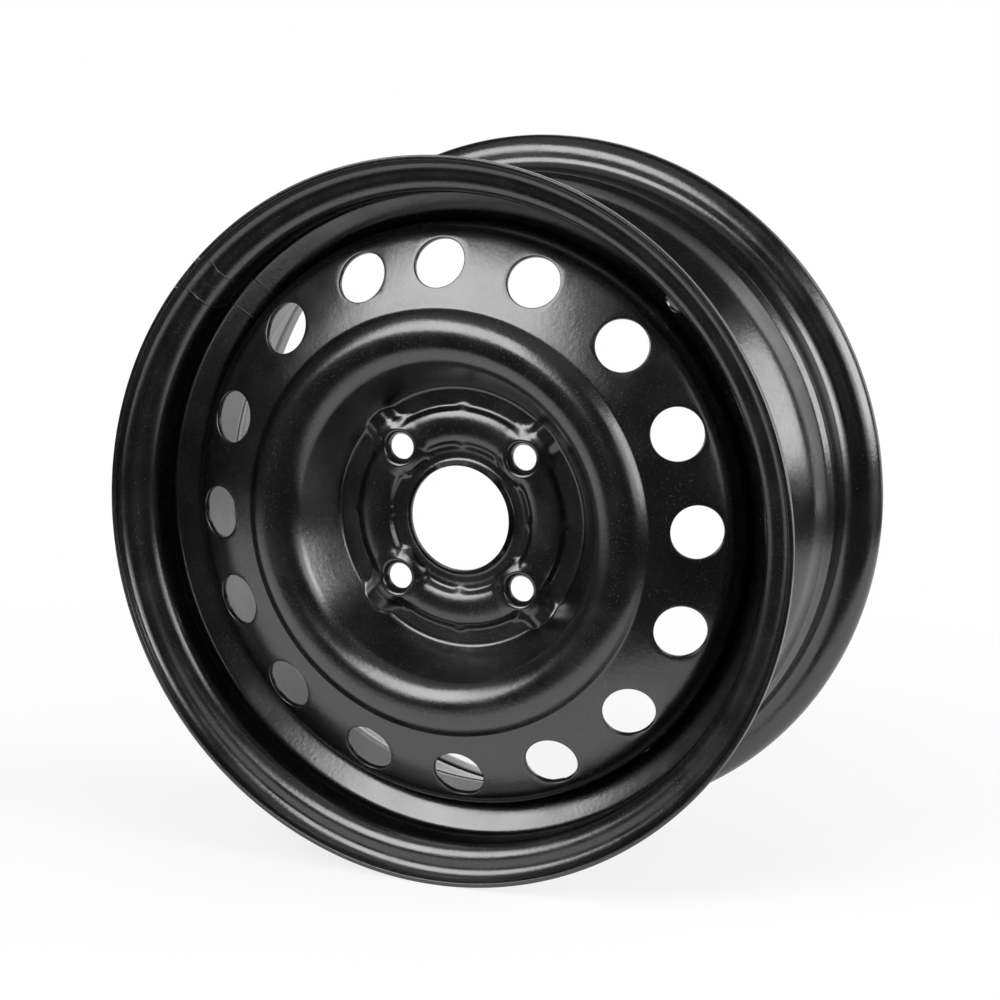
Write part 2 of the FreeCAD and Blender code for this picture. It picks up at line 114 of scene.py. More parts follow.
def polar(points: Array) -> tuple[Array, Array]:
    """Distance from the wheel's axis, and angle about it from +X towards +Z, of points in rows."""
    return np.hypot(points[:, 0], points[:, 2]), np.arctan2(points[:, 2], points[:, 0])


def wrapped(angle: Array) -> Array:
    """Angles brought into the half-open range from -pi to pi."""
    return (np.asarray(angle) + math.pi) % (2 * math.pi) - math.pi


def spoke(angle: float) -> Vector:
    """Unit direction away from the wheel's axis at an angle about it."""
    return Vector((math.cos(angle), 0.0, math.sin(angle)))


class SheetLine:
    """One face of a bent sheet in section, sampled as points with normals that point out of that face."""

    def __init__(self, corners: Sequence[Corner], bend_step: float) -> None:
        """Sample the straight runs and the bends between them.

        Args:
            corners: the corners in order, with the sheet on the left of the line.
            bend_step: largest turn between two samples of a bend, in radians.
        """
        places = [np.array((corner.radius, corner.along)) for corner in corners]
        samples: list[Array] = []
        normals: list[Array] = []
        start = places[0]
        for index in range(1, len(places)):
            ahead = places[index] - places[index - 1]
            heading = ahead / np.linalg.norm(ahead)
            stop = places[index]
            turn = 0.0
            if corners[index].bend:
                onward = places[index + 1] - places[index]
                onward = onward / np.linalg.norm(onward)
                turn = math.atan2(heading[0] * onward[1] - heading[1] * onward[0], heading @ onward)
                stop = places[index] - heading * corners[index].bend * math.tan(abs(turn) / 2)
            step = corners[index].step
            pieces = max(1, math.ceil(np.linalg.norm(stop - start) / step))
            normal = np.array((heading[1], -heading[0]))
            for piece in range(pieces + 1):
                samples.append(start + (stop - start) * piece / pieces)
                normals.append(normal)
            start = stop
            if turn:
                side = math.copysign(corners[index].bend, turn)
                centre = stop - normal * side
                pieces = max(2, math.ceil(abs(turn) / bend_step), math.ceil(abs(turn * side) / step))
                for piece in range(1, pieces):
                    angle = turn * piece / pieces
                    spun = np.array((
                        normal[0] * math.cos(angle) - normal[1] * math.sin(angle),
                        normal[0] * math.sin(angle) + normal[1] * math.cos(angle)))
                    samples.append(centre + spun * side)
                    normals.append(spun)
                start = places[index] + onward * corners[index].bend * math.tan(abs(turn) / 2)
        self.points = np.array(samples)
        self.normals = np.array(normals)
        self._drop_repeats()

    def _drop_repeats(self) -> None:
        """Drop samples that coincide with the one before, where a run meets a bend."""
        gaps = np.linalg.norm(np.diff(self.points, axis=0), axis=1)
        keep = np.concatenate(([True], gaps > SAME_POINT))
        self.points = self.points[keep]
        self.normals = self.normals[keep]

    def behind(self, wall: float) -> Array:
        """The other face of a sheet with an even wall, sample by sample."""
        return self.points - self.normals * wall


class Bench:
    """Modelling steps that several pieces share, done as by hand with the mesh tools."""

    SECTION_GAP = 0.005 * MM
    SPIN_GAP = 0.02 * MM
    ROUND_SEGMENTS = 3

    @staticmethod
    def clear() -> None:
        """Leave edit mode and select nothing."""
        if bpy.context.object and bpy.context.object.mode != "OBJECT":
            bpy.ops.object.mode_set(mode="OBJECT")
        bpy.ops.object.select_all(action="DESELECT")

    @staticmethod
    def edit(piece: bpy.types.Object, kind: str, action: str) -> None:
        """Open a piece in edit mode.

        Args:
            piece: the piece.
            kind: what is picked in it, points, edges or faces.
            action: whether all of them are selected or none.
        """
        bpy.context.view_layer.objects.active = piece
        bpy.ops.object.mode_set(mode="EDIT")
        bpy.ops.mesh.select_mode(type=kind)
        bpy.ops.mesh.select_all(action=action)

    @staticmethod
    def begin(name: str) -> bpy.types.Object:
        """Make a piece of the primitive just added.

        Args:
            name: the piece's name.

        Returns:
            The primitive with its place in its mesh, in edit mode with all its points selected.
        """
        piece = bpy.context.object
        piece.name = name
        piece.data.name = name
        bpy.ops.object.transform_apply(location=True, rotation=True, scale=True)
        Bench.edit(piece, "VERT", "SELECT")
        return piece

    @staticmethod
    def merge(gap: float) -> None:
        """Select all of the mesh in edit mode and merge its points that lie within a gap."""
        bpy.ops.mesh.select_all(action="SELECT")
        bpy.ops.mesh.remove_doubles(threshold=gap)

    @staticmethod
    def face_outwards() -> None:
        """Select all of the mesh in edit mode and turn its faces outwards."""
        bpy.ops.mesh.select_all(action="SELECT")
        bpy.ops.mesh.normals_make_consistent(inside=False)

    @staticmethod
    def point_at(name: str, place: Sequence[float]) -> bpy.types.Object:
        """Start a piece as one point, made from a small plane merged at its centre.

        Args:
            name: the piece's name.
            place: where the point lies.

        Returns:
            The new object, in edit mode with its point selected.
        """
        Bench.clear()
        bpy.ops.mesh.primitive_plane_add(size=MM, location=place)
        piece = Bench.begin(name)
        bpy.ops.mesh.merge(type="CENTER")
        return piece

    @staticmethod
    def spun(name: str, outline: Array, steps: int) -> bpy.types.Object:
        """Draw a closed section by extruding a point along it, and spin it about the wheel's axis.

        Args:
            name: the piece's name.
            outline: the section's points in order, as distance from the axis and place along it.
            steps: number of copies round the axis.

        Returns:
            The spun piece, closed and with its faces pointing outwards.
        """
        piece = Bench.point_at(name, (outline[0][0], outline[0][1], 0.0))
        closed = np.vstack((outline, outline[:1]))
        for across, along in np.diff(closed, axis=0):
            bpy.ops.mesh.extrude_region_move(TRANSFORM_OT_translate={"value": (across, along, 0.0)})
        Bench.merge(Bench.SECTION_GAP)
        bpy.ops.mesh.spin(steps=steps, angle=2 * math.pi, center=(0, 0, 0), axis=(0, 1, 0))
        Bench.merge(Bench.SPIN_GAP)
        Bench.face_outwards()
        bpy.ops.object.mode_set(mode="OBJECT")
        return piece

    @staticmethod
    def places(piece: bpy.types.Object) -> Array:
        """Read where a piece's points lie.

        Args:
            piece: the piece.

        Returns:
            The points as rows of coordinates.
        """
        flat = np.zeros(len(piece.data.vertices) * 3)
        piece.data.vertices.foreach_get("co", flat)
        return flat.reshape(-1, 3)

    @staticmethod
    def move(piece: bpy.types.Object, places: Array) -> None:
        """Put a piece's points at new places, given as rows."""
        piece.data.vertices.foreach_set("co", places.ravel())
        piece.data.update()

    @staticmethod
    def round_edges(piece: bpy.types.Object, width: float) -> None:
        """Break every sharp edge with a small round.

        Args:
            piece: the piece to work on.
            width: how far the round reaches from the edge.
        """
        Bench.edit(piece, "EDGE", "DESELECT")
        bpy.ops.mesh.edges_select_sharp(sharpness=SHARP_ANGLE)
        bpy.ops.mesh.bevel(
            offset=width, segments=Bench.ROUND_SEGMENTS, profile=0.5, affect="EDGES", clamp_overlap=True)
        bpy.ops.object.mode_set(mode="OBJECT")

    @staticmethod
    def finish(piece: bpy.types.Object, paint: bpy.types.Material, node: str) -> None:
        """Shade a piece, paint it and let it stand for its solid.

        Args:
            piece: the finished piece.
            paint: its material.
            node: the solid that it stands for.
        """
        Bench.clear()
        piece.select_set(True)
        bpy.context.view_layer.objects.active = piece
        bpy.ops.object.shade_smooth_by_angle(angle=SMOOTH_ANGLE)
        piece.data.materials.clear()
        piece.data.materials.append(paint)
        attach(piece, BODY)
        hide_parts(node)


@dataclass
class Hole:
    """A round hole through a sheet, and the patch of its grid that the hole's rings take up.

    Args:
        centre: the hole's middle on the sheet's face.
        axis: direction of the hole, out of the face.
        across: unit direction in the sheet, away from the wheel's axis.
        angle: the hole's angle about the wheel's axis.
        half_turn: half the patch's width as an angle about the wheel's axis.
        rows: first and last sample of the sheet's line that the patch reaches to.
    """

    centre: Vector
    axis: Vector
    across: Vector
    angle: float
    half_turn: float
    rows: tuple[int, int]


@dataclass(frozen=True)
class Ring:
    """One ring of points about a hole.

    Args:
        radius: the ring's radius, or None for a ring part of the way to the next one with a radius.
        share: how far a ring without a radius has come from the patch's edge.
        along: the ring's place along the wheel's axis, or None where it lies on the sheet.
    """

    radius: float | None = None
    share: float = 0.0
    along: float | None = None


class Piercing:
    """Opens patches of a spun sheet and fills each with rings that close in on a round hole."""

    ROW_SLACK = 0.05 * MM
    COLUMN_SLACK = 0.2
    SLIDES = 12
    SLIDE_SHARE = 0.8

    def __init__(self, piece: bpy.types.Object, line: SheetLine, wall: float, steps: int,
                 surfaces: dict[Side, Surface]) -> None:
        """Take a spun sheet to be pierced.

        Args:
            piece: the spun sheet.
            line: the sampled line of its face.
            wall: the sheet's wall.
            steps: number of columns of its grid round the axis.
            surfaces: for each face, its place along the axis at a distance and angle about the axis.
        """
        self.piece = piece
        self.wall = wall
        self.step = 2 * math.pi / steps
        self.lines = {Side.FACE: line.points, Side.BACK: line.behind(wall)}
        self.surfaces = surfaces

    def side_masks(self, radius: Array, along: Array, angle: Array) -> dict[Side, Array]:
        """Which points lie on each side of the sheet.

        Args:
            radius: the points' distances from the wheel's axis.
            along: their places along it.
            angle: their angles about it.

        Returns:
            A mask for the face and one for the back, with points inside the sheet in neither.
        """
        near = {side: np.abs(along - self.surfaces[side](radius, angle)) for side in Side}
        on_face = near[Side.FACE] < near[Side.BACK]
        return {
            Side.FACE: on_face & (near[Side.FACE] < self.wall / 2),
            Side.BACK: ~on_face & (near[Side.BACK] < self.wall / 2),
        }

    def patch_mask(self, hole: Hole, side: Side, radius: Array, along: Array, angle: Array) -> Array:
        """Which points lie in a hole's patch on one side, its edge included.

        Args:
            hole: the hole.
            side: the face or the back.
            radius: the points' distances from the wheel's axis.
            along: their places along it.
            angle: their angles about it.

        Returns:
            The mask.
        """
        ends = sorted(self.lines[side][row][0] for row in hole.rows)
        first = round((hole.angle - hole.half_turn) / self.step)
        last = round((hole.angle + hole.half_turn) / self.step)
        middle = (first + last) / 2 * self.step
        half = (last - first + self.COLUMN_SLACK) / 2 * self.step
        in_rows = (radius > ends[0] - self.ROW_SLACK) & (radius < ends[1] + self.ROW_SLACK)
        in_columns = np.abs(wrapped(angle - middle)) < half
        return in_columns & in_rows & self.side_masks(radius, along, angle)[side]

    def open_patches(self, holes: Sequence[Hole]) -> None:
        """Delete the faces of every hole's patch on both sides of the sheet.

        Args:
            holes: the holes whose patches are opened.
        """
        mesh = self.piece.data
        flat = np.zeros(len(mesh.polygons) * 3)
        mesh.polygons.foreach_get("center", flat)
        centres = flat.reshape(-1, 3)
        radius, angle = polar(centres)
        along = centres[:, 1]
        chosen = np.zeros(len(centres), bool)
        for hole in holes:
            for side in Side:
                chosen |= self.patch_mask(hole, side, radius, along, angle)
        Bench.edit(self.piece, "FACE", "DESELECT")
        bpy.ops.object.mode_set(mode="OBJECT")
        mesh.polygons.foreach_set("select", chosen)
        bpy.ops.object.mode_set(mode="EDIT")
        bpy.ops.mesh.delete(type="FACE")
        bpy.ops.object.mode_set(mode="OBJECT")

    def on_hole(self, hole: Hole, side: Side, radius: float, turns: Array) -> Array:
        """Points of a circle about the hole's axis, slid along it on to one side of the sheet.

        Args:
            hole: the hole.
            side: the face or the back.
            radius: the circle's radius.
            turns: angles about the hole's axis.

        Returns:
            The points as rows.
        """
        axis = np.array(hole.axis)
        across = np.array(hole.across)
        beside = np.cross(axis, across)
        points = np.array(hole.centre) + radius * (
            np.outer(np.cos(turns), across) + np.outer(np.sin(turns), beside))
        for _ in range(self.SLIDES):
            far, angle = polar(points)
            miss = self.surfaces[side](far, angle) - points[:, 1]
            points = points + np.outer(miss / axis[1], axis) * self.SLIDE_SHARE
        return points

    def turns_about(self, hole: Hole, points: Array) -> Array:
        """Angles of points about a hole's axis, from the direction away from the wheel's axis.

        Args:
            hole: the hole.
            points: the points as rows.

        Returns:
            An angle for each point.
        """
        axis = np.array(hole.axis)
        across = np.array(hole.across)
        offset = points - np.array(hole.centre)
        return np.arctan2(offset @ np.cross(axis, across), offset @ across)

    def fill(self, holes: Sequence[Hole], rings: dict[Side, Sequence[Ring]]) -> None:
        """Run rings from each patch's edge on the face, through the hole and out to the edge on the back.

        Args:
            holes: the holes, all of one kind.
            rings: for each side, its rings from the patch's edge to the hole.
        """
        bpy.context.view_layer.objects.active = self.piece
        bpy.ops.object.mode_set(mode="EDIT")
        mesh = bmesh.from_edit_mesh(self.piece.data)
        edge_points = [vertex for vertex in mesh.verts if vertex.is_boundary]
        places = np.array([vertex.co for vertex in edge_points])
        radius, angle = polar(places)
        for hole in holes:
            loops: list[list[bmesh.types.BMVert]] = []
            turns: Array | None = None
            for side in Side:
                mask = self.patch_mask(hole, side, radius, places[:, 1], angle)
                found = np.flatnonzero(mask)
                about = self.turns_about(hole, places[found])
                found = found[np.argsort(about)]
                border = [edge_points[index] for index in found]
                if turns is None:
                    even = np.arange(len(found)) * 2 * math.pi / len(found)
                    turns = even + np.angle(np.mean(np.exp(1j * (np.sort(about) - even))))
                walk = [border]
                for index, ring in enumerate(rings[side]):
                    goal = next(later.radius for later in rings[side][index:] if later.radius)
                    ring_places = self.ring_places(hole, side, ring, goal, places[found], turns)
                    walk.append([mesh.verts.new(place) for place in ring_places])
                loops += walk if side is Side.FACE else walk[::-1]
            for outer, inner in zip(loops, loops[1:]):
                for first in range(len(outer)):
                    last = (first + 1) % len(outer)
                    mesh.faces.new((outer[first], outer[last], inner[last], inner[first]))
        Bench.face_outwards()
        bmesh.update_edit_mesh(self.piece.data)
        bpy.ops.object.mode_set(mode="OBJECT")

    def ring_places(self, hole: Hole, side: Side, ring: Ring, goal: float,
                    border: Array, turns: Array) -> Array:
        """Where one ring's points lie.

        Args:
            hole: the hole.
            side: the face or the back.
            ring: the ring.
            goal: its own radius, or that of the next ring that has one.
            border: the patch's edge, in order about the hole.
            turns: the points' angles about the hole's axis.

        Returns:
            The points as rows.
        """
        target = self.on_hole(hole, side, goal, turns)
        if ring.radius is None:
            begin, begin_angle = polar(border)
            end, end_angle = polar(target)
            radius = begin + (end - begin) * ring.share
            angle = begin_angle + wrapped(end_angle - begin_angle) * ring.share
            along = self.surfaces[side](radius, angle)
            target = np.column_stack((radius * np.cos(angle), along, radius * np.sin(angle)))
        if ring.along is not None:
            target[:, 1] = ring.along
        return target


class Graph:
    """A node tree, wired up step by step."""

    def __init__(self, tree: bpy.types.NodeTree) -> None:
        """Take the tree to be wired."""
        self.tree = tree

    def node(self, kind: str, **inputs: object) -> bpy.types.Node:
        """Add a node, link the sockets among its inputs and set the rest.

        Args:
            kind: the node's type.
            inputs: what each input takes, under its name with underscores for spaces.

        Returns:
            The new node.
        """
        node = self.tree.nodes.new(kind)
        for name, value in inputs.items():
            self.feed(node.inputs[name.replace("_", " ")], value)
        return node

    def feed(self, socket: bpy.types.NodeSocket, value: object) -> None:
        """Give an input what it takes.

        Args:
            socket: the input.
            value: another node's output, which is linked, or a plain value, which is set.
        """
        if isinstance(value, bpy.types.NodeSocket):
            self.tree.links.new(value, socket)
        else:
            socket.default_value = value

    def math(self, operation: str, *values: object, clamp: bool = False) -> bpy.types.NodeSocket:
        """One step of arithmetic.

        Args:
            operation: the step's name.
            values: what it works on, sockets or plain numbers.
            clamp: whether the result is held between 0 and 1.

        Returns:
            The result.
        """
        node = self.node("ShaderNodeMath")
        node.operation = operation
        node.use_clamp = clamp
        for socket, value in zip(node.inputs, values):
            self.feed(socket, value)
        return node.outputs[0]

    def ranged(self, source: bpy.types.NodeSocket, low: float, high: float,
               least: float, most: float) -> bpy.types.NodeSocket:
        """A value carried from one range to another and held there."""
        return self.node("ShaderNodeMapRange", Value=source, From_Min=low, From_Max=high,
                         To_Min=least, To_Max=most).outputs["Result"]

    def noise(self, scale: float, detail: float) -> bpy.types.NodeSocket:
        """A noise on the object's own coordinates."""
        node = self.node("ShaderNodeTexNoise", Vector=self.place(), Scale=scale, Detail=detail)
        return node.outputs["Fac"]

    def place(self) -> bpy.types.NodeSocket:
        """The object's own coordinates."""
        return self.node("ShaderNodeTexCoord").outputs["Object"]

    def bump(self, height: bpy.types.NodeSocket, strength: float, distance: float,
             under: bpy.types.NodeSocket | None = None) -> bpy.types.NodeSocket:
        """Lay bumps over the bumps below them.

        Args:
            height: the bumps' height.
            strength: how far they show.
            distance: how high a height of 1 stands.
            under: the bumps below, if there are any.

        Returns:
            The bumped normal.
        """
        node = self.node("ShaderNodeBump", Height=height, Strength=strength, Distance=distance)
        if under:
            self.feed(node.inputs["Normal"], under)
        return node.outputs["Normal"]

    def shown(self, mask: object = 1.0) -> bpy.types.NodeSocket:
        """Tell what the camera sees from what only gives light.

        Args:
            mask: the share of what paint mirrors, or glass lets through, that counts as seen.

        Returns:
            1 for what is seen and 0 for the rest.
        """
        path = self.node("ShaderNodeLightPath").outputs
        mirrored = self.math("ADD", path["Is Glossy Ray"], path["Is Transmission Ray"], clamp=True)
        return self.math("ADD", path["Is Camera Ray"], self.math("MULTIPLY", mirrored, mask), clamp=True)


@dataclass(frozen=True)
class DipPaint:
    """Black dip paint on pressed steel: a semi-gloss skin with a fine orange peel and a little dust.

    Args:
        name: the material's name.
        colour: the paint's own colour.
        refraction: refractive index of the skin.
        mirror: strength of the skin's mirror.
        roughness: the mean roughness of the skin.
        gloss_spread: how far the roughness falls and rises from its mean.
        gloss_scale: scale of the noise that spreads it.
        peel: strength of the orange peel.
        peel_scale: scale of its noise.
        peel_height: how high it stands.
        grain: strength of the finer grain.
        grain_scale: scale of its noise.
        grain_height: how high it stands.
        dust: share of the dust's own colour in a speck.
        dust_colour: the dust's own colour.
        dust_scale: scale of the noise that scatters the specks.
        dust_range: values of that noise between which a speck comes in.
        seams: angles about the axis, in radians, where the trimmed edges of a butt weld show.
        seam_width: half the width of such an edge, in radians.
        seam_scale: scale of the noise that makes the edges waver.
        seam_bump: strength of the grooves along the edges.
        seam_depth: how deep the grooves are.
        ground_scale: scale of the noise that breaks up the ground strip.
        ground_range: values of that noise between which the grinding comes in.
        ground_roughness: how much rougher the ground strip is.
    """

    name: str
    colour: tuple[float, float, float] = (0.0018, 0.0018, 0.0020)
    refraction: float = 1.55
    mirror: float = 1.0
    roughness: float = 0.24
    gloss_spread: tuple[float, float] = (-0.04, 0.05)
    gloss_scale: float = 45.0
    peel: float = 0.09
    peel_scale: float = 420.0
    peel_height: float = 0.6 * MM
    grain: float = 0.1
    grain_scale: float = 2600.0
    grain_height: float = 0.2 * MM
    dust: float = 0.6
    dust_colour: tuple[float, float, float] = (0.22, 0.22, 0.22)
    dust_scale: float = 2400.0
    dust_range: tuple[float, float] = (0.79, 0.82)
    seams: tuple[float, ...] = ()
    seam_width: float = math.radians(0.15)
    seam_scale: float = 90.0
    seam_bump: float = 0.5
    seam_depth: float = 0.25 * MM
    ground_scale: float = 300.0
    ground_range: tuple[float, float] = (0.4, 0.65)
    ground_roughness: float = 0.1

    def build(self) -> bpy.types.Material:
        """Make the paint's nodes.

        Returns:
            The material.
        """
        material = bpy.data.materials.new(self.name)
        material.use_nodes = True
        graph = Graph(material.node_tree)
        shader = material.node_tree.nodes["Principled BSDF"]
        shader.inputs["IOR"].default_value = self.refraction
        shader.inputs["Specular IOR Level"].default_value = self.mirror

        tone = graph.node("ShaderNodeMix")
        tone.data_type = "RGBA"
        specks = graph.ranged(graph.noise(self.dust_scale, detail=0.0), *self.dust_range, 0.0, self.dust)
        graph.feed(tone.inputs["Factor"], specks)
        tone.inputs["A"].default_value = (*self.colour, 1.0)
        tone.inputs["B"].default_value = (*self.dust_colour, 1.0)
        graph.feed(shader.inputs["Base Color"], tone.outputs["Result"])

        least, most = (self.roughness + spread for spread in self.gloss_spread)
        gloss = graph.ranged(graph.noise(self.gloss_scale, detail=3.0), *NOISE_RANGE, least, most)
        surface = None
        if self.seams:
            edges, ground = self.butt_weld(graph)
            gloss = graph.math("ADD", gloss, graph.math("MULTIPLY", ground, self.ground_roughness))
            surface = graph.bump(edges, self.seam_bump, self.seam_depth)
        graph.feed(shader.inputs["Roughness"], gloss)
        peel = graph.noise(self.peel_scale, detail=1.0)
        surface = graph.bump(peel, self.peel, self.peel_height, surface)
        grain = graph.noise(self.grain_scale, detail=1.0)
        surface = graph.bump(grain, self.grain, self.grain_height, surface)
        graph.feed(shader.inputs["Normal"], surface)
        return material

    def butt_weld(self, graph: Graph) -> tuple[bpy.types.NodeSocket, bpy.types.NodeSocket]:
        """The trimmed edges of a butt weld as fine grooves, and the ground strip between them.

        Args:
            graph: the paint's nodes.

        Returns:
            The height, lower in the grooves, and the share of ground strip.
        """
        parts = graph.node("ShaderNodeSeparateXYZ", Vector=graph.place()).outputs
        angle = graph.math("ARCTAN2", parts["Z"], parts["X"])
        waver = graph.noise(self.seam_scale, detail=2.0)
        waver = graph.ranged(waver, *NOISE_RANGE, -self.seam_width, self.seam_width)
        angle = graph.math("ADD", angle, waver)
        middle = (self.seams[0] + self.seams[-1]) / 2
        half = abs(self.seams[-1] - self.seams[0]) / 2
        aside = graph.math("ABSOLUTE", graph.math("SUBTRACT", angle, middle))
        off = graph.math("ABSOLUTE", graph.math("SUBTRACT", aside, half))
        patches = graph.noise(self.ground_scale, detail=2.0)
        patches = graph.ranged(patches, *self.ground_range, 0.0, 1.0)
        strip = graph.math("LESS_THAN", aside, half)
        return graph.ranged(off, 0.0, self.seam_width, 0.0, 1.0), graph.math("MULTIPLY", strip, patches)


@dataclass
class Rim:
    """The rolled drop-centre rim: two flanges, bead seats with humps, a well and a ramp behind it."""

    width: float = 139.7 * MM
    seat_diameter: float = 354.8 * MM
    wall: float = 2.5 * MM
    flange_height: float = 17.3 * MM
    flange_curl: float = 9.5 * MM
    flange_lip: float = 1.65 * MM
    bead_heel: float = 6.5 * MM
    seat_angle: float = math.radians(5)
    seat_width: float = 16.3 * MM
    hump_ramp: float = 4 * MM
    hump_rise: float = 1.1 * MM
    hump_bend: float = 5 * MM
    shoulder_reach: float = 25.95 * MM
    shoulder_bend: float = 6.5 * MM
    wall_lean: float = math.radians(25.4)
    well_depth: float = 17.3 * MM
    well_width: float = 32.8 * MM
    well_bend: float = 8 * MM
    ramp_bend: float = 20 * MM
    ledge_reach: float = 44.8 * MM
    ledge_drop: float = 5.2 * MM
    ledge_rise: float = 2.2 * MM
    valve_hole: float = 11.5 * MM
    valve_angle: float = math.radians(47)
    valve_lead: float = 4 * MM
    valve_trail: float = 6 * MM
    valve_patch: float = 1.35
    valve_share: float = 0.5
    edge_round: float = 0.5 * MM
    butt_weld: tuple[float, float] = (math.radians(136.6), math.radians(143.0))
    bend_step: float = math.radians(10)
    steps: int = 360

    def __post_init__(self) -> None:
        """Work out the places that the disc shares."""
        self.seat = self.seat_diameter / 2
        self.face = self.width / 2
        self.seat_foot = self.seat - self.seat_width * math.tan(self.seat_angle)
        self.hump = self.seat_foot + self.hump_rise
        self.well = self.seat - self.well_depth
        self.shoulder_y = self.shoulder_reach - self.face
        self.well_y = self.shoulder_y + (self.hump - self.well) * math.tan(self.wall_lean)

    def corners(self) -> list[Corner]:
        """Lay out the tyre side of the rim in section.

        Returns:
            The corners from the outboard lip to the inboard lip.
        """
        flange = self.seat + self.flange_height
        lip = self.face + self.flange_curl + self.flange_lip
        hump_y = self.seat_width + self.hump_ramp - self.face
        ledge = self.seat - self.ledge_drop
        return [
            Corner(flange, -lip),
            Corner(flange, -self.face, self.flange_curl),
            Corner(self.seat, -self.face, self.bead_heel),
            Corner(self.seat_foot, self.seat_width - self.face, self.hump_bend),
            Corner(self.hump, hump_y, self.hump_bend),
            Corner(self.hump, self.shoulder_y, self.shoulder_bend),
            Corner(self.well, self.well_y, self.well_bend),
            Corner(self.well, self.well_y + self.well_width, self.ramp_bend),
            Corner(ledge, self.face - self.ledge_reach, self.ramp_bend),
            Corner(ledge + self.ledge_rise, -self.shoulder_y, self.hump_bend),
            Corner(self.hump, -hump_y, self.hump_bend),
            Corner(self.seat_foot, self.face - self.seat_width, self.hump_bend),
            Corner(self.seat, self.face, self.bead_heel),
            Corner(flange, self.face, self.flange_curl),
            Corner(flange, lip),
        ]

    def build(self, paint: bpy.types.Material) -> bpy.types.Object:
        """Spin the rim, pierce its valve hole and paint it.

        Args:
            paint: the rim's material.

        Returns:
            The rim.
        """
        line = SheetLine(self.corners(), self.bend_step)
        outline = np.vstack((line.points, line.behind(self.wall)[::-1]))
        piece = Bench.spun("rim_sheet", outline, self.steps)
        self.pierce_valve(piece, line)
        Bench.round_edges(piece, self.edge_round)
        Bench.finish(piece, paint, "rim")
        return piece

    def pierce_valve(self, piece: bpy.types.Object, line: SheetLine) -> None:
        """Pierce the valve hole square to the sloping wall of the drop centre.

        Args:
            piece: the spun rim.
            line: the sampled line of its tyre side.
        """
        slope = [index for index, along in enumerate(line.points[:, 1])
                 if self.shoulder_y - self.valve_lead < along < self.well_y + self.valve_trail]
        first, last = slope[0], slope[-1]

        def surface_of(points: Array) -> Surface:
            """Read the sloping wall as a surface.

            Args:
                points: one side of the rim in section.

            Returns:
                The wall's place along the axis, as a function of the distance from it and the angle.
            """
            wall = points[first:last + 1]
            order = np.argsort(wall[:, 0])
            return lambda radius, angle: np.interp(radius, wall[order, 0], wall[order, 1])

        surfaces = {Side.FACE: surface_of(line.points), Side.BACK: surface_of(line.behind(self.wall))}
        radius = (self.hump + self.well) / 2
        along = (self.shoulder_y + self.well_y) / 2
        outward = spoke(self.valve_angle)
        normal = outward * math.sin(self.wall_lean) + Vector((0, math.cos(self.wall_lean), 0))
        across = outward * math.cos(self.wall_lean) - Vector((0, math.sin(self.wall_lean), 0))
        reach = self.valve_hole / 2 * self.valve_patch
        rows = [index for index in slope if abs(line.points[index][0] - radius) < reach]
        hole = Hole(
            centre=outward * radius + Vector((0, along, 0)), axis=normal, across=across,
            angle=self.valve_angle, half_turn=reach / radius, rows=(rows[0] - 1, rows[-1] + 1))
        piercing = Piercing(piece, line, self.wall, self.steps, surfaces)
        piercing.open_patches([hole])
        walk = [Ring(share=self.valve_share), Ring(radius=self.valve_hole / 2)]
        piercing.fill([hole], {Side.FACE: walk, Side.BACK: walk})


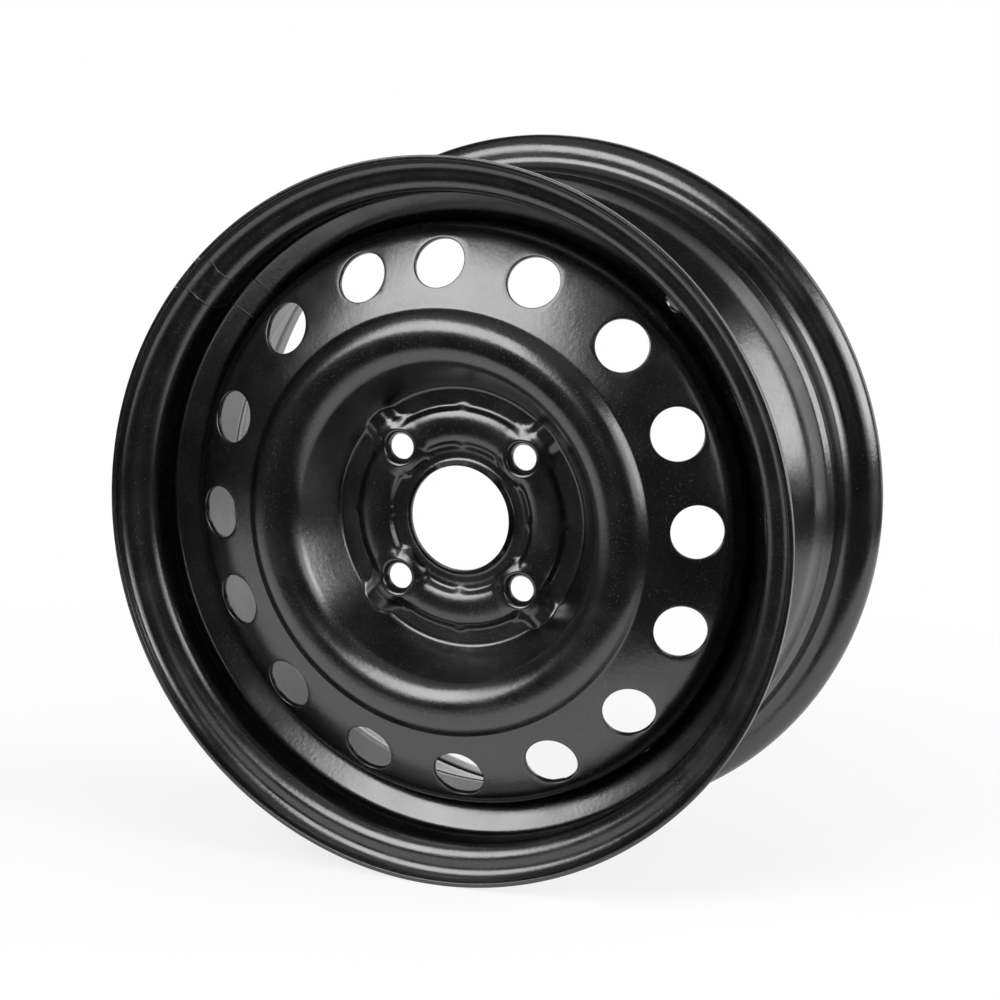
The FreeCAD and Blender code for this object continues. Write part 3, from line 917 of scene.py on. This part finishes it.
@dataclass
class Disc:
    """The pressed disc: hub floor with its crown of bolt bosses, bowl, crest, vent zone and skirt."""

    rim: Rim
    inset: float = 45 * MM
    wall: float = 3.25 * MM
    bore: float = 28.3 * MM
    bore_land: float = 2.6 * MM
    collar_rise: float = 3.85 * MM
    collar_angle: float = math.radians(55)
    collar_bend: float = 3 * MM
    foot: float = 70 * MM
    foot_bend: float = 4 * MM
    crest_height: float = 30.75 * MM
    bowl_slope: float = math.radians(58)
    bowl_bend: float = 17.5 * MM
    crest_bend: float = 15 * MM
    crease: float = 114.45 * MM
    crease_drop: float = 7.7 * MM
    flank_slope: float = math.radians(50)
    crease_bend: float = 3 * MM
    zone_run: float = 19.06 * MM
    zone_drop: float = 5.47 * MM
    zone_bend: float = 130 * MM
    shoulder_lead: float = 15.54 * MM
    skirt_bend: float = 16.5 * MM
    skirt_seat: float = 21.8 * MM
    skirt_fit: float = 0.1 * MM
    bolt_circle: float = 50 * MM
    bolt_hole: float = 7 * MM
    bolt_turn: float = math.radians(45)
    bolt_count: int = 4
    seat: float = 9 * MM
    seat_cone: float = math.radians(60)
    seat_bend: float = 2.2 * MM
    seat_bend_steps: int = 4
    seat_margin: float = 0.5 * MM
    bolt_patch: float = 4.2 * MM
    bolt_share: float = 0.35
    crown_inside: float = 39.5 * MM
    crown_outside: float = 60 * MM
    crown_rise: float = 4.75 * MM
    crown_arc: float = 22 * MM
    crown_edge: float = 0.5 * MM
    crown_top: float = 0.8 * MM
    crown_foot: float = 1.0 * MM
    step_draft: float = math.radians(30)
    boss: float = 16.4 * MM
    spur: float = 9.5 * MM
    spur_rise: float = 3.9 * MM
    boss_draft: float = math.radians(40)
    boss_round: float = 3.2 * MM
    face_fillet: float = 1.5 * MM
    back_fillet: float = 1.0 * MM
    hub_lead: float = 4 * MM
    hub_trail: float = 12 * MM
    crease_ease: float = 0.55 * MM
    ease_spread: float = 3.0
    ease_step: float = 0.25 * MM
    ease_columns: int = 360
    ease_trail: float = 16 * MM
    dimple: float = 10 * MM
    dimple_gap: float = 1.8 * MM
    dimple_foot: tuple[float, float] = (1.2 * MM, 0.5 * MM)
    dimple_rise: float = 1.4 * MM
    dimple_edge: tuple[float, float] = (0.3 * MM, 0.5 * MM)
    dimple_land: float = 1.0 * MM
    nub: float = 5 * MM
    nub_reach: float = 1.8 * MM
    nub_rise: float = 2.2 * MM
    nub_round: float = 1.5 * MM
    vent_circle: float = 137.9 * MM
    vent_hole: float = 14 * MM
    vent_pitch: float = math.radians(22.5)
    vent_start: float = math.radians(24.7)
    vent_patch: float = 1.12
    vent_half_turn: float = math.radians(8)
    vent_shares: tuple[float, ...] = (0.3, 0.6)
    pair_shifts: tuple[float, ...] = (0.0, 1.7, -1.6, 0.9, -1.0, 0.5, 1.0, 0.9)
    mouth_gap: float = 0.2 * MM
    mouth_points: int = 6
    edge_round: float = 0.8 * MM
    bend_step: float = math.radians(7.5)
    steps: int = 270
    hub_step: float = 1.0 * MM
    zone_step: float = 2.2 * MM
    bases: dict[Side, Callable[[Array], Array]] = field(default_factory=dict)
    surfaces: dict[Side, Surface] = field(default_factory=dict)

    def __post_init__(self) -> None:
        """Work out the places that follow from the rim and the inset."""
        self.floor_y = -self.inset - self.wall
        self.skirt = self.rim.well - self.rim.wall - self.skirt_fit
        self.skirt_end_y = self.rim.well_y + self.skirt_seat

    def corners(self) -> list[Corner]:
        """Lay out the outboard face of the disc in section.

        Returns:
            The corners from the centre bore to the end of the skirt.
        """
        crest_y = self.floor_y - self.crest_height
        crease_y = crest_y + self.crease_drop
        return [
            Corner(self.bore, self.floor_y - self.collar_rise),
            Corner(self.bore + self.collar_rise / math.tan(self.collar_angle), self.floor_y,
                   self.collar_bend, self.hub_step),
            Corner(self.foot, self.floor_y, self.foot_bend, self.hub_step),
            Corner(self.foot + self.crest_height / math.tan(self.bowl_slope), crest_y,
                   self.bowl_bend, self.hub_step),
            Corner(self.crease - self.crease_drop / math.tan(self.flank_slope), crest_y,
                   self.crest_bend, self.zone_step),
            Corner(self.crease, crease_y, self.crease_bend, self.zone_step),
            Corner(self.crease + self.zone_run, crease_y + self.zone_drop, self.zone_bend, self.zone_step),
            Corner(self.skirt, self.rim.well_y - self.shoulder_lead, self.skirt_bend, self.zone_step),
            Corner(self.skirt, self.skirt_end_y),
        ]

    def crown(self, radius: Array, angle: Array, inset: float) -> Array:
        """How far the crown stands out of the hub floor.

        Args:
            radius: distances from the wheel's axis.
            angle: angles about it.
            inset: how far inside the pressing the asked surface lies, 0 for its face.

        Returns:
            The rise of each point, 0 or more.
        """
        half = (self.crown_outside - self.crown_inside) / 2
        middle = (self.crown_outside + self.crown_inside) / 2
        span = np.maximum((self.crown_arc - inset) ** 2 - (radius - middle) ** 2, 0.0)
        cushion = np.sqrt(span) - self.crown_arc + self.crown_rise + inset
        narrow = inset * (1 - math.sin(self.step_draft)) / math.cos(self.step_draft)
        step = (half - narrow - np.abs(radius - middle)) / math.tan(self.step_draft)
        ring = smooth_min(cushion, step, self.crown_edge)

        draft = math.tan(self.boss_draft)
        shrink = inset * (1 - math.sin(self.boss_draft)) / math.cos(self.boss_draft)
        pitch = 2 * math.pi / self.bolt_count
        off = (angle - self.bolt_turn + pitch / 2) % pitch - pitch / 2
        out = radius * np.cos(off)
        beside = np.abs(radius * np.sin(off))
        boss = (self.boss - shrink - np.hypot(out - self.bolt_circle, beside)) / draft
        boss = smooth_min(boss, np.full_like(boss, self.crown_rise), self.boss_round)
        spur = np.where(out > self.bolt_circle, (self.spur - shrink - beside) / draft, FAR_BELOW)
        spur = smooth_min(spur, np.full_like(spur, self.spur_rise), self.boss_round)
        rise = smooth_max(ring, smooth_max(boss, spur, self.boss_round), self.boss_round)

        off = (angle + pitch / 2) % pitch - pitch / 2
        out = radius * np.cos(off)
        beside = radius * np.sin(off)
        if not inset:
            for centre in (self.crown_outside + self.nub_reach - self.nub,
                           self.crown_inside - self.nub_reach + self.nub):
                nub = (self.nub - np.hypot(out - centre, beside)) / draft
                nub = smooth_min(nub, np.full_like(nub, self.nub_rise), self.nub_round)
                rise = smooth_max(rise, nub, self.nub_round)
        rise = smooth_min(rise, np.full_like(rise, self.crown_rise), self.crown_top)
        return smooth_max(rise, np.zeros_like(rise), self.crown_foot)

    def eased_crown(self, inset: float) -> Surface:
        """The crown with its creases eased, as sheet flows in a press.

        Args:
            inset: how far inside the pressing the asked surface lies, 0 for its face.

        Returns:
            The eased rise, as a function of distance from the axis and angle about it.
        """
        fine = self.ease_step
        count = self.ease_columns
        pitch = 2 * math.pi / self.bolt_count
        radii = np.arange(self.bore, self.foot + self.ease_trail, fine)
        rise = self.crown(radii[:, None], np.arange(count)[None, :] * pitch / count, inset)
        waves = np.fft.rfft(rise, axis=1)
        per_turn = np.arange(waves.shape[1])[None, :] * self.bolt_count
        waves *= np.exp(-0.5 * (per_turn * self.crease_ease / radii[:, None]) ** 2)
        rise = np.fft.irfft(waves, n=count, axis=1)
        reach = math.ceil(self.ease_spread * self.crease_ease / fine)
        weights = np.exp(-0.5 * (np.arange(-reach, reach + 1) * fine / self.crease_ease) ** 2)
        padded = np.pad(rise, ((reach, reach), (0, 0)), mode="edge")
        rise = sum(weight * padded[shift:shift + len(radii)] for shift, weight in enumerate(weights))
        rise /= weights.sum()

        def at(radius: Array, angle: Array) -> Array:
            """Read the eased rise between the nearest four samples.

            Args:
                radius: distances from the wheel's axis.
                angle: angles about it.

            Returns:
                The rise of each point.
            """
            row = np.clip((radius - radii[0]) / fine, 0, len(radii) - 1)
            low = np.minimum(np.floor(row).astype(int), len(radii) - 2)
            up = row - low
            column = angle % pitch / pitch * count
            over = column - np.floor(column)
            left = np.floor(column).astype(int) % count
            right = (left + 1) % count
            return ((1 - up) * ((1 - over) * rise[low, left] + over * rise[low, right])
                    + up * ((1 - over) * rise[low + 1, left] + over * rise[low + 1, right]))

        return at

    def make_surfaces(self, line: SheetLine) -> None:
        """Settle where the face and the back lie along the axis, crown and bosses included.

        Args:
            line: the sampled line of the face.
        """
        face = line.points
        back = line.behind(self.wall)
        ahead = slice(0, np.argmax(face[:, 0] > self.skirt - SAME_POINT))

        def base(points: Array) -> Callable[[Array], Array]:
            """The bare pressing's place along the axis, as a function of the distance from it."""
            order = np.argsort(points[ahead, 0])
            return lambda radius: np.interp(radius, points[ahead, 0][order], points[ahead, 1][order])

        self.bases = {Side.FACE: base(face), Side.BACK: base(back)}
        half_way = (self.bore + self.crown_inside) / 2
        crowns = {Side.FACE: self.eased_crown(0.0), Side.BACK: self.eased_crown(self.wall)}

        def surface(side: Side, floor: float, fillet: float) -> Surface:
            """Join one side of the crown to the bare pressing.

            Args:
                side: the face or the back.
                floor: the hub floor's place along the axis on that side.
                fillet: reach of the fillet between crown and bowl.

            Returns:
                The side's place along the axis, as a function of the distance from it and the angle.
            """
            def at(radius: Array, angle: Array) -> Array:
                """The side's place along the axis, bare inside the crown's ring."""
                joined = smooth_min(self.bases[side](radius), floor - crowns[side](radius, angle), fillet)
                return np.where(radius < half_way, self.bases[side](radius), joined)

            return at

        self.surfaces = {
            Side.FACE: surface(Side.FACE, self.floor_y, self.face_fillet),
            Side.BACK: surface(Side.BACK, -self.inset, self.back_fillet),
        }

    def outline(self, line: SheetLine) -> Array:
        """Close the section with the lead-in and the land of the centre bore.

        Args:
            line: the sampled line of the face.

        Returns:
            The section's points in order, as distance from the axis and place along it.
        """
        land_y = self.floor_y - self.collar_rise + self.bore_land
        mouth = self.bore - self.inset - land_y
        back = line.behind(self.wall)
        kept = back[back[:, 0] > mouth + self.mouth_gap]
        lead_in = np.linspace((mouth, -self.inset), (self.bore, land_y), self.mouth_points)
        return np.vstack((line.points, kept[::-1], lead_in))

    def build(self, paint: bpy.types.Material) -> bpy.types.Object:
        """Spin the disc, pierce its vents, press its crown, pierce its bolt holes and paint it.

        Args:
            paint: the disc's material.

        Returns:
            The disc.
        """
        line = SheetLine(self.corners(), self.bend_step)
        self.make_surfaces(line)
        piece = Bench.spun("disc_pressing", self.outline(line), self.steps)
        piercing = Piercing(piece, line, self.wall, self.steps, self.surfaces)
        vents = self.vents(line)
        piercing.open_patches(vents)
        walk = [*(Ring(share=share) for share in self.vent_shares), Ring(radius=self.vent_hole)]
        piercing.fill(vents, {Side.FACE: walk, Side.BACK: walk})
        Bench.round_edges(piece, self.edge_round)
        self.press_crown(piece)
        bolts = self.bolts(line)
        piercing.open_patches(bolts)
        piercing.fill(bolts, {Side.FACE: self.seat_rings(), Side.BACK: self.dimple_rings()})
        Bench.finish(piece, paint, "disc")
        return piece

    def press_crown(self, piece: bpy.types.Object) -> None:
        """Push the hub floor out into the crown, its bosses and nubs, on both faces.

        Args:
            piece: the spun disc.
        """
        places = Bench.places(piece)
        radius, angle = polar(places)
        along = places[:, 1]
        hub = (radius > self.crown_inside - self.hub_lead) & (radius < self.foot + self.hub_trail)
        gaps = {side: np.abs(along - self.bases[side](radius)) for side in Side}
        on_face = gaps[Side.FACE] < gaps[Side.BACK]
        for side, mask in ((Side.FACE, hub & on_face), (Side.BACK, hub & ~on_face)):
            places[mask, 1] = self.surfaces[side](radius[mask], angle[mask])
        Bench.move(piece, places)

    def vents(self, line: SheetLine) -> list[Hole]:
        """Place the vent holes, square to the vent zone and pierced in pairs.

        Args:
            line: the sampled line of the face.

        Returns:
            The holes.
        """
        reach = self.vent_hole * self.vent_patch
        rows = [index for index, (radius, along) in enumerate(line.points)
                if abs(radius - self.vent_circle) < reach and along < self.floor_y]
        middle = int(np.argmin(np.abs(line.points[:, 0] - self.vent_circle)))
        lean = math.atan2(line.normals[middle][0], -line.normals[middle][1])
        along = float(self.surfaces[Side.FACE](np.array([self.vent_circle]), np.array([0.0]))[0])
        holes = []
        for index in range(2 * len(self.pair_shifts)):
            shift = math.radians(self.pair_shifts[index // 2])
            angle = self.vent_start + index * self.vent_pitch + shift
            outward = spoke(angle)
            holes.append(Hole(
                centre=outward * self.vent_circle + Vector((0, along, 0)),
                axis=outward * math.sin(lean) - Vector((0, math.cos(lean), 0)),
                across=outward * math.cos(lean) + Vector((0, math.sin(lean), 0)),
                angle=wrapped(angle), half_turn=self.vent_half_turn, rows=(rows[0], rows[-1])))
        return holes

    def bolts(self, line: SheetLine) -> list[Hole]:
        """Place the bolt holes in their bosses.

        Args:
            line: the sampled line of the face.

        Returns:
            The holes.
        """
        reach = self.seat + self.bolt_patch
        rows = [index for index, radius in enumerate(line.points[:, 0])
                if abs(radius - self.bolt_circle) < reach]
        holes = []
        for index in range(self.bolt_count):
            angle = self.bolt_turn + index * 2 * math.pi / self.bolt_count
            outward = spoke(angle)
            holes.append(Hole(
                centre=outward * self.bolt_circle + Vector((0, self.floor_y - self.crown_rise, 0)),
                axis=Vector((0, -1, 0)), across=outward, angle=wrapped(angle),
                half_turn=reach / self.bolt_circle, rows=(rows[0], rows[-1])))
        return holes

    def seat_rings(self) -> list[Ring]:
        """Lay out the conical bolt seat: flat boss, rounded edge, cone and hole.

        Returns:
            The rings from the patch's edge to the hole.
        """
        top = self.floor_y - self.crown_rise
        tangent = self.seat_bend * math.tan(self.seat_cone / 2)
        rings = [Ring(share=self.bolt_share), Ring(radius=self.seat + tangent + self.seat_margin)]
        for step in range(self.seat_bend_steps + 1):
            lean = self.seat_cone * step / self.seat_bend_steps
            radius = self.seat + tangent - self.seat_bend * math.sin(lean)
            rings.append(Ring(radius=radius, along=top + self.seat_bend * (1 - math.cos(lean))))
        low = top + (self.seat - self.bolt_hole) * math.tan(self.seat_cone)
        rings.append(Ring(radius=self.bolt_hole, along=low))
        return rings

    def dimple_rings(self) -> list[Ring]:
        """Lay out the dimple that carries the seat on the back: foot, side, top and hole.

        Returns:
            The rings from the patch's edge to the hole.
        """
        hollow = -self.inset - self.crown_rise
        top = -self.inset - self.dimple_gap
        edge_in, edge_down = self.dimple_edge
        return [
            Ring(share=self.bolt_share),
            *(Ring(radius=self.dimple + foot) for foot in self.dimple_foot),
            Ring(radius=self.dimple, along=hollow + self.dimple_rise),
            Ring(radius=self.dimple - edge_in, along=top - edge_down),
            Ring(radius=self.dimple - self.dimple_land, along=top),
            Ring(radius=self.bolt_hole, along=top),
        ]


@dataclass
class WeldBeads:
    """The arc seams between the skirt's inner end and the underside of the rim."""

    disc: Disc
    count: int = 4
    span: float = math.radians(40)
    leg: float = 4 * MM
    rise: float = 3 * MM
    half_leg: float = 0.42
    half_rise: float = 0.5
    thickness: float = 0.45
    ripple: float = 0.22 * MM
    ripple_pitch: float = 1.7 * MM
    ripple_steps: int = 6
    ripple_sweep: float = 0.9
    taper: float = 6 * MM
    tip: float = 0.02
    tip_rise: float = 0.45
    tip_leg: float = 0.38
    sides: int = 14

    def __post_init__(self) -> None:
        """Work out the corner that the seams fill and the heart of their section."""
        self.corner = np.array((self.disc.rim.well - self.disc.rim.wall, self.disc.skirt_end_y))
        self.heart = self.corner + np.array((-self.rise * self.half_rise, self.leg * self.half_leg))

    def build(self, paint: bpy.types.Material) -> bpy.types.Object:
        """Spin one seam, ripple and taper it, copy it round and paint the set.

        Args:
            paint: the seams' material.

        Returns:
            The seams.
        """
        Bench.clear()
        bpy.ops.mesh.primitive_circle_add(
            vertices=self.sides, radius=self.leg * self.thickness, fill_type="NOTHING",
            location=(*self.heart, 0.0))
        piece = Bench.begin("weld_seams")
        length = self.span * self.corner[0]
        steps = round(length / self.ripple_pitch * self.ripple_steps)
        bpy.ops.mesh.spin(steps=steps, angle=self.span, center=(0, 0, 0), axis=(0, 1, 0))
        Bench.merge(SAME_POINT)
        bpy.ops.mesh.select_all(action="DESELECT")
        bpy.ops.mesh.select_non_manifold()
        bpy.ops.mesh.edge_face_add()
        Bench.face_outwards()
        bpy.ops.object.mode_set(mode="OBJECT")
        self.shape(piece)
        bpy.ops.object.mode_set(mode="EDIT")
        bpy.ops.mesh.select_all(action="SELECT")
        turn = 2 * math.pi / self.count
        for _ in range(self.count - 1):
            bpy.ops.mesh.duplicate()
            bpy.ops.transform.rotate(
                value=turn, orient_axis="Y", orient_type="GLOBAL", center_override=(0.0, 0.0, 0.0))
        bpy.ops.object.mode_set(mode="OBJECT")
        Bench.finish(piece, paint, "weld_beads")
        return piece

    def shape(self, piece: bpy.types.Object) -> None:
        """Turn the seam to its place, taper its ends and ripple its face.

        Args:
            piece: the spun seam.
        """
        places = Bench.places(piece)
        radius, angle = polar(places)
        middle = wrapped(angle - self.span / 2)
        length = middle * self.corner[0]
        across = radius - self.heart[0]
        along = places[:, 1] - self.heart[1]
        ends = (self.span / 2 - np.abs(middle)) * self.corner[0]
        full = np.sqrt(np.clip(ends / self.taper, self.tip, 1.0))
        swept = length + self.ripple_sweep * np.abs(across) + self.ripple_sweep * np.abs(along)
        wave = 1 + self.ripple / self.leg * 2 * np.cos(2 * math.pi * swept / self.ripple_pitch)
        across = np.clip(across * full * wave, None, self.rise * self.half_rise)
        along = np.clip(along * full * wave, -self.leg * self.half_leg, None)
        radius = self.heart[0] + across + (1 - full) * self.rise * self.tip_rise
        places[:, 0] = radius * np.cos(middle)
        places[:, 1] = self.heart[1] + along - (1 - full) * self.leg * self.tip_leg
        places[:, 2] = radius * np.sin(middle)
        Bench.move(piece, places)


@dataclass(frozen=True)
class Lamp:
    """A soft rectangular studio light that faces the wheel.

    Args:
        name: the light's name.
        azimuth: its bearing in degrees, from straight in front of the disc towards +X.
        elevation: its height above the wheel's axis in degrees.
        spans: its width and height as seen from the wheel, in degrees.
        radiance: how bright its face is.
        distance: how far away it stands.
        mirrored: whether it shows in the paint.
    """

    name: str
    azimuth: float
    elevation: float
    spans: tuple[float, float]
    radiance: float
    distance: float = 2.2
    mirrored: bool = True

    def build(self) -> bpy.types.Object:
        """Add the light, turned to the wheel.

        Returns:
            The light.
        """
        bearing, height = math.radians(self.azimuth), math.radians(self.elevation)
        aim = Vector((
            math.sin(bearing) * math.cos(height), -math.cos(bearing) * math.cos(height), math.sin(height)))
        width, tall = (2 * self.distance * math.tan(math.radians(span) / 2) for span in self.spans)
        bpy.ops.object.light_add(type="AREA", location=aim * self.distance)
        light = bpy.context.object
        light.name = self.name
        light.data.shape = "RECTANGLE"
        light.data.size = width
        light.data.size_y = tall
        light.data.energy = self.radiance * width * tall * math.pi
        light.rotation_euler = aim.to_track_quat("Z", "Y").to_euler()
        light.visible_camera = False
        light.visible_glossy = self.mirrored
        return light


@dataclass(frozen=True)
class TableTop:
    """A pale table top that fades into the white background.

    Args:
        name: the material's name.
        colour: the top's own colour.
        roughness: its roughness.
        glow: share of plain white in what is seen of it near the wheel.
        fade: distances from the wheel's middle where the white begins to grow and where it is full.
    """

    name: str
    colour: tuple[float, float, float] = (0.88, 0.88, 0.88)
    roughness: float = 0.9
    glow: float = 0.8
    fade: tuple[float, float] = (0.35, 0.7)

    def build(self) -> bpy.types.Material:
        """Make the top's nodes.

        Returns:
            The material.
        """
        material = bpy.data.materials.new(self.name)
        material.use_nodes = True
        graph = Graph(material.node_tree)
        nodes = material.node_tree.nodes
        shader = nodes["Principled BSDF"]
        shader.inputs["Base Color"].default_value = (*self.colour, 1.0)
        shader.inputs["Roughness"].default_value = self.roughness
        shader.inputs["Specular IOR Level"].default_value = 0.0
        away = graph.node("ShaderNodeVectorMath")
        away.operation = "LENGTH"
        graph.feed(away.inputs[0], graph.place())
        white = graph.ranged(away.outputs["Value"], *self.fade, self.glow, 1.0)
        blend = graph.node("ShaderNodeMixShader", Fac=graph.math("MULTIPLY", graph.shown(), white))
        graph.feed(blend.inputs[1], shader.outputs[0])
        graph.feed(blend.inputs[2], graph.node("ShaderNodeEmission").outputs[0])
        graph.feed(nodes["Material Output"].inputs["Surface"], blend.outputs[0])
        return material


@dataclass
class Studio:
    """Floor, world, lights and camera of the photograph."""

    azimuth: float = math.radians(22.794)
    elevation: float = math.radians(10.522)
    distance: float = 1750.56 * MM
    aside: float = -1.526 * MM
    above: float = 1.047 * MM
    roll: float = math.radians(1.163)
    focal: float = 3204.49
    image: float = 1000.0
    sensor: float = 36.0
    clip_start: float = 0.01
    clip_end: float = 100.0
    floor_left: float = -0.85
    floor_right: float = 0.75
    floor_front: float = -0.315
    floor_back: float = 1.0
    room_light: float = 0.045
    backdrop_reach: float = math.radians(20)

    def build(self, floor_height: float) -> None:
        """Set the whole studio up around the wheel.

        Args:
            floor_height: where the floor lies, at the wheel's lowest point.
        """
        bpy.context.scene.view_settings.view_transform = "Standard"
        self.add_camera()
        self.add_floor(floor_height)
        self.add_world()
        for lamp in self.lamps():
            lamp.build()

    def add_camera(self) -> None:
        """Place the camera where the photograph's stood, turned with the bolt circle about the axis."""
        sine, cosine = math.sin(self.azimuth), math.cos(self.azimuth)
        back = Vector((
            sine * math.cos(self.elevation), -cosine * math.cos(self.elevation), math.sin(self.elevation)))
        right = Vector((cosine, sine, 0.0))
        up = back.cross(right)
        place = back * self.distance - right * self.aside + up * self.above
        pose = Matrix((right, up, back)).transposed().to_4x4()
        pose.translation = place
        data = bpy.data.cameras.new("camera")
        data.sensor_width = self.sensor
        data.lens = self.focal * self.sensor / self.image
        data.clip_start = self.clip_start
        data.clip_end = self.clip_end
        camera = bpy.data.objects.new("camera", data)
        bpy.context.scene.collection.objects.link(camera)
        camera.matrix_world = Matrix.Rotation(-self.roll, 4, "Y") @ pose
        bpy.context.scene.camera = camera

    def add_floor(self, height: float) -> None:
        """Lay a pale table top under the wheel, square to the camera and ending a little in front of it.

        Args:
            height: where the top lies.
        """
        Bench.clear()
        bpy.ops.mesh.primitive_plane_add(size=1.0)
        floor = bpy.context.object
        floor.name = "floor"
        across = (self.floor_left, self.floor_right)
        deep = (self.floor_front, self.floor_back)
        floor.scale = (across[1] - across[0], deep[1] - deep[0], 1.0)
        middle = Vector((sum(across) / 2, sum(deep) / 2, height))
        floor.location = Matrix.Rotation(self.azimuth, 3, "Z") @ middle
        floor.rotation_euler = (0.0, 0.0, self.azimuth)
        bpy.ops.object.transform_apply(location=True, rotation=True, scale=True)
        floor.data.materials.append(TableTop("pale_floor").build())
        floor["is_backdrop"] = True

    def add_world(self) -> None:
        """A white background behind the wheel, which shows in its paint too, in a dim room."""
        world = bpy.data.worlds.new("studio")
        bpy.context.scene.world = world
        world.use_nodes = True
        graph = Graph(world.node_tree)
        facing = graph.node("ShaderNodeVectorMath")
        facing.operation = "DOT_PRODUCT"
        graph.feed(facing.inputs[0], graph.node("ShaderNodeTexCoord").outputs["Generated"])
        facing.inputs[1].default_value = (-math.sin(self.azimuth), math.cos(self.azimuth), 0.0)
        backdrop = graph.ranged(facing.outputs["Value"], math.cos(self.backdrop_reach),
                                math.cos(self.backdrop_reach / 2), 0.0, 1.0)
        strength = graph.node("ShaderNodeMix", Factor=graph.shown(backdrop), A=self.room_light, B=1.0)
        ground = world.node_tree.nodes["Background"]
        ground.inputs["Color"].default_value = (1.0, 1.0, 1.0, 1.0)
        graph.feed(ground.inputs["Strength"], strength.outputs["Result"])

    def lamps(self) -> list[Lamp]:
        """List the soft lights, as the black paint mirrors them.

        Returns:
            The lights.
        """
        return [
            Lamp("key_softbox", -24, 31, (40, 35), 5.8),
            Lamp("side_softbox", 95, 21, (46, 34), 5.8),
            Lamp("side_edge", 61, 21, (19, 34), 2.2),
            Lamp("back_strip", 150, 12, (15, 42), 1.6),
            Lamp("back_panel", 180, 13, (43, 46), 0.75),
            Lamp("overhead_panel", -30, 78, (70, 50), 0.3),
            Lamp("table_light", 0, 88, (70, 70), 0.6, mirrored=False),
        ]


def main() -> None:
    """Build the wheel's pieces, dress them and set up the studio."""
    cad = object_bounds()
    rim = Rim()
    disc = Disc(rim)
    pieces = [
        rim.build(DipPaint("rim_paint", seams=rim.butt_weld).build()),
        disc.build(DipPaint("disc_paint").build()),
        WeldBeads(disc).build(DipPaint("seam_paint", roughness=0.36, peel=0.16).build()),
    ]
    for piece in pieces:
        LOG.info("%s: %d faces", piece.name, len(piece.data.polygons))
    Studio().build(cad[0].z)


if __name__ == "__main__":
    main()
